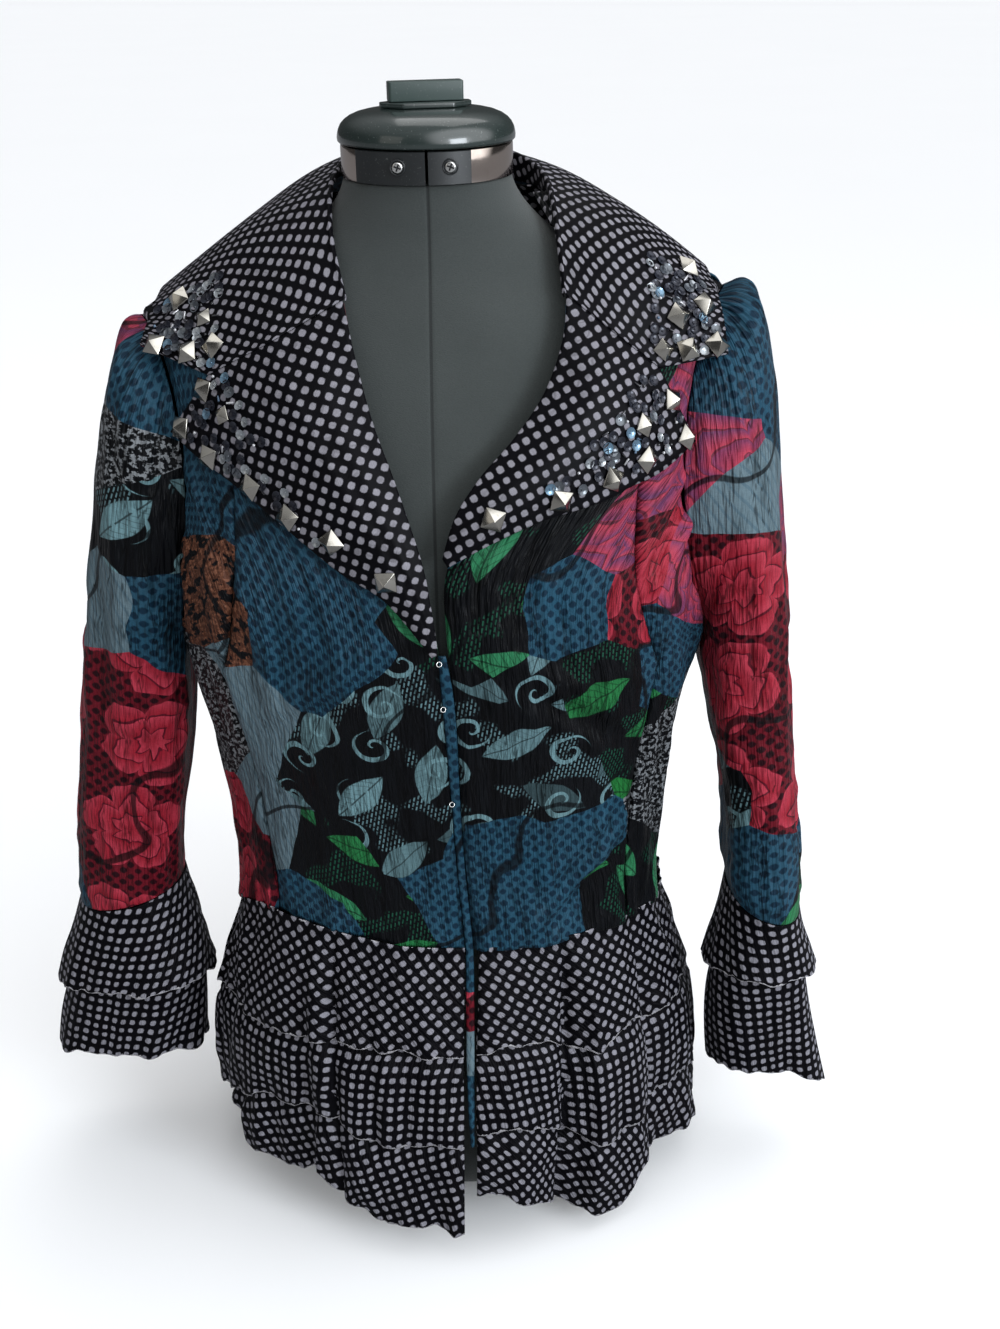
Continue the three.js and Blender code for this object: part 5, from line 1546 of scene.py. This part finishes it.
# Outlines of the small pieces: radius and height in mm
CUP = [(0.6, 0.1), (2.3, 0.3), (3.0, 0.9), (3.0, 1.05), (2.2, 0.5), (0.7, 0.35), (0.5, 0.9)]
BEAD = [(0.3, 0.0), (0.85, 0.35), (1.0, 0.9), (0.85, 1.45), (0.3, 1.8)]
STICK = [(0.5, -2.2), (0.62, -2.0), (0.62, 2.0), (0.5, 2.2)]
SEQUIN_SHARE = 0.78  # a draw below this becomes a sequin
ROUND_SHARE = 0.9  # one from there to this a round bead, and any other a stick
sequins, beads = [], []
for at, right, up, normal, luck in strewn(BEADED, 7):
    tilt = unit(normal + right * 0.6 * (luck - 0.4))
    right = np.cross(up, tilt)
    if luck < SEQUIN_SHARE:
        size = 1 + 0.25 * luck
        profile = [(r * size, h) for r, h in CUP]
        sequins.append((*revolve(profile, at + normal * 0.3, right, up, tilt, 10), luck / SEQUIN_SHARE))
    elif luck < ROUND_SHARE:
        beads.append((*revolve(BEAD, at + normal * 0.2, right, up, tilt, 7), (luck - SEQUIN_SHARE) / 0.12))
    else:
        beads.append((*revolve(STICK, at + normal * 0.95, up, tilt, right, 7), (luck - ROUND_SHARE) / 0.1))

sequin_film, g = new_material('sequin_film', Metallic=0.6, Roughness=0.2)
tint = g.split(g.uv('tint'))[0]
silver, ink, blue = (0.3, 0.32, 0.335), (0.012, 0.012, 0.016), (0.13, 0.22, 0.3)
shade = g.mix(tint > 0.22, silver, ink)
shade = g.mix(tint > 0.66, shade, blue)
shade = g.mix(tint > 0.74, shade, (0.1, 0.11, 0.12))
# Painted sheen: the colour turns pale blue-grey towards grazing angles.
grazing_sheen = g.out(g.node('LayerWeight', 0.45), 'Facing')
g.shade(Base_Color=g.mix(grazing_sheen * 0.3, shade, (0.2, 0.23, 0.32)))
joined('edge_sequins', sequins, sequin_film)

bead_glass, g = new_material('bead_glass', Metallic=0.4, Coat_Weight=0.7, Coat_Roughness=0.05)
tint = g.split(g.uv('tint'))[0]
shade = g.mix(tint > 0.45, (0.02, 0.02, 0.025), (0.5, 0.5, 0.52))
g.shade(Base_Color=g.mix(tint > 0.85, shade, (0.08, 0.13, 0.2)), Roughness=tint * 0.1 + 0.14)
joined('edge_beads', beads, bead_glass)


# Floor, camera and light
bpy.ops.object.select_all(action='DESELECT')
bpy.ops.mesh.primitive_circle_add(vertices=96, radius=30, fill_type='NGON', location=(0, 0, 0))
floor = bpy.context.active_object
floor.name = 'studio_floor'
floor_paint, g = new_material('floor_paint', Roughness=0.9, Specular_IOR_Level=0.2)
pale = g.mix(g.noise(g.place(), 1.2), (0.97, 0.97, 0.97), (0.99, 0.99, 0.99))
seen = g.out(g.node('LightPath'), 'Is Camera Ray')
g.shade(Base_Color=g.mix(seen, (0.26, 0.26, 0.27), pale))
floor.data.materials.append(floor_paint)

camera_data = bpy.data.cameras.new('camera')
camera = linked('camera', camera_data)
camera_data.sensor_width = 36
camera_data.lens = 1600 / 1329 * 36
camera.matrix_world = (Matrix.Translation((0.038, -0.990, 0.8433))
                       @ Matrix.Rotation(math.radians(90 - 24.5), 4, 'X')
                       @ Matrix.Rotation(math.radians(-1.0), 4, 'Z'))
bpy.context.scene.camera = camera


def area_light(name, place, target, size, power, tone):
    data = bpy.data.lights.new(name, 'AREA')
    data.energy, data.size, data.color = power, size, tone
    light = linked(name, data)
    light.location = place
    light.rotation_euler = (Vector(target) - Vector(place)).to_track_quat('-Z', 'Y').to_euler()


area_light('window_light', (1.4, -1.5, 1.0), (0, 0, 0.45), 0.8, 24, (0.86, 0.93, 1.0))
area_light('fill_light', (-1.6, -1.6, 1.4), (0, 0, 0.4), 1.2, 3, (1.0, 0.96, 0.9))
area_light('top_light', (0.2, 0.8, 2.4), (0, 0, 0.5), 1.4, 8, (1.0, 1.0, 1.0))
world = bpy.context.scene.world or bpy.data.worlds.new('studio')
bpy.context.scene.world = world
world.use_nodes = True
background = world.node_tree.nodes['Background']
sky = Graph(world.node_tree)
way = sky.place('Generated')
facing = sky.vector('DOT_PRODUCT', way, (0.73, -0.58, 0.37))
soft = sky.step(facing, -0.45, 1) * 1.6 + 0.24
window = sky.step(facing, 0.62, 0.88) * 2.4 + 0.05
mirrored = window + sky.step(sky.split(way)[2], 0.25, 0.9) * 0.4
glossy, seen = (sky.out(sky.node('LightPath'), f'Is {kind} Ray') for kind in ('Glossy', 'Camera'))
level = (mirrored - soft) * glossy + soft
sky.feed(background.inputs['Strength'], (1.05 - level) * seen + level)
sky.feed(background.inputs['Color'], (0.95, 0.97, 1.0))
bpy.context.scene.view_settings.view_transform = 'Standard'
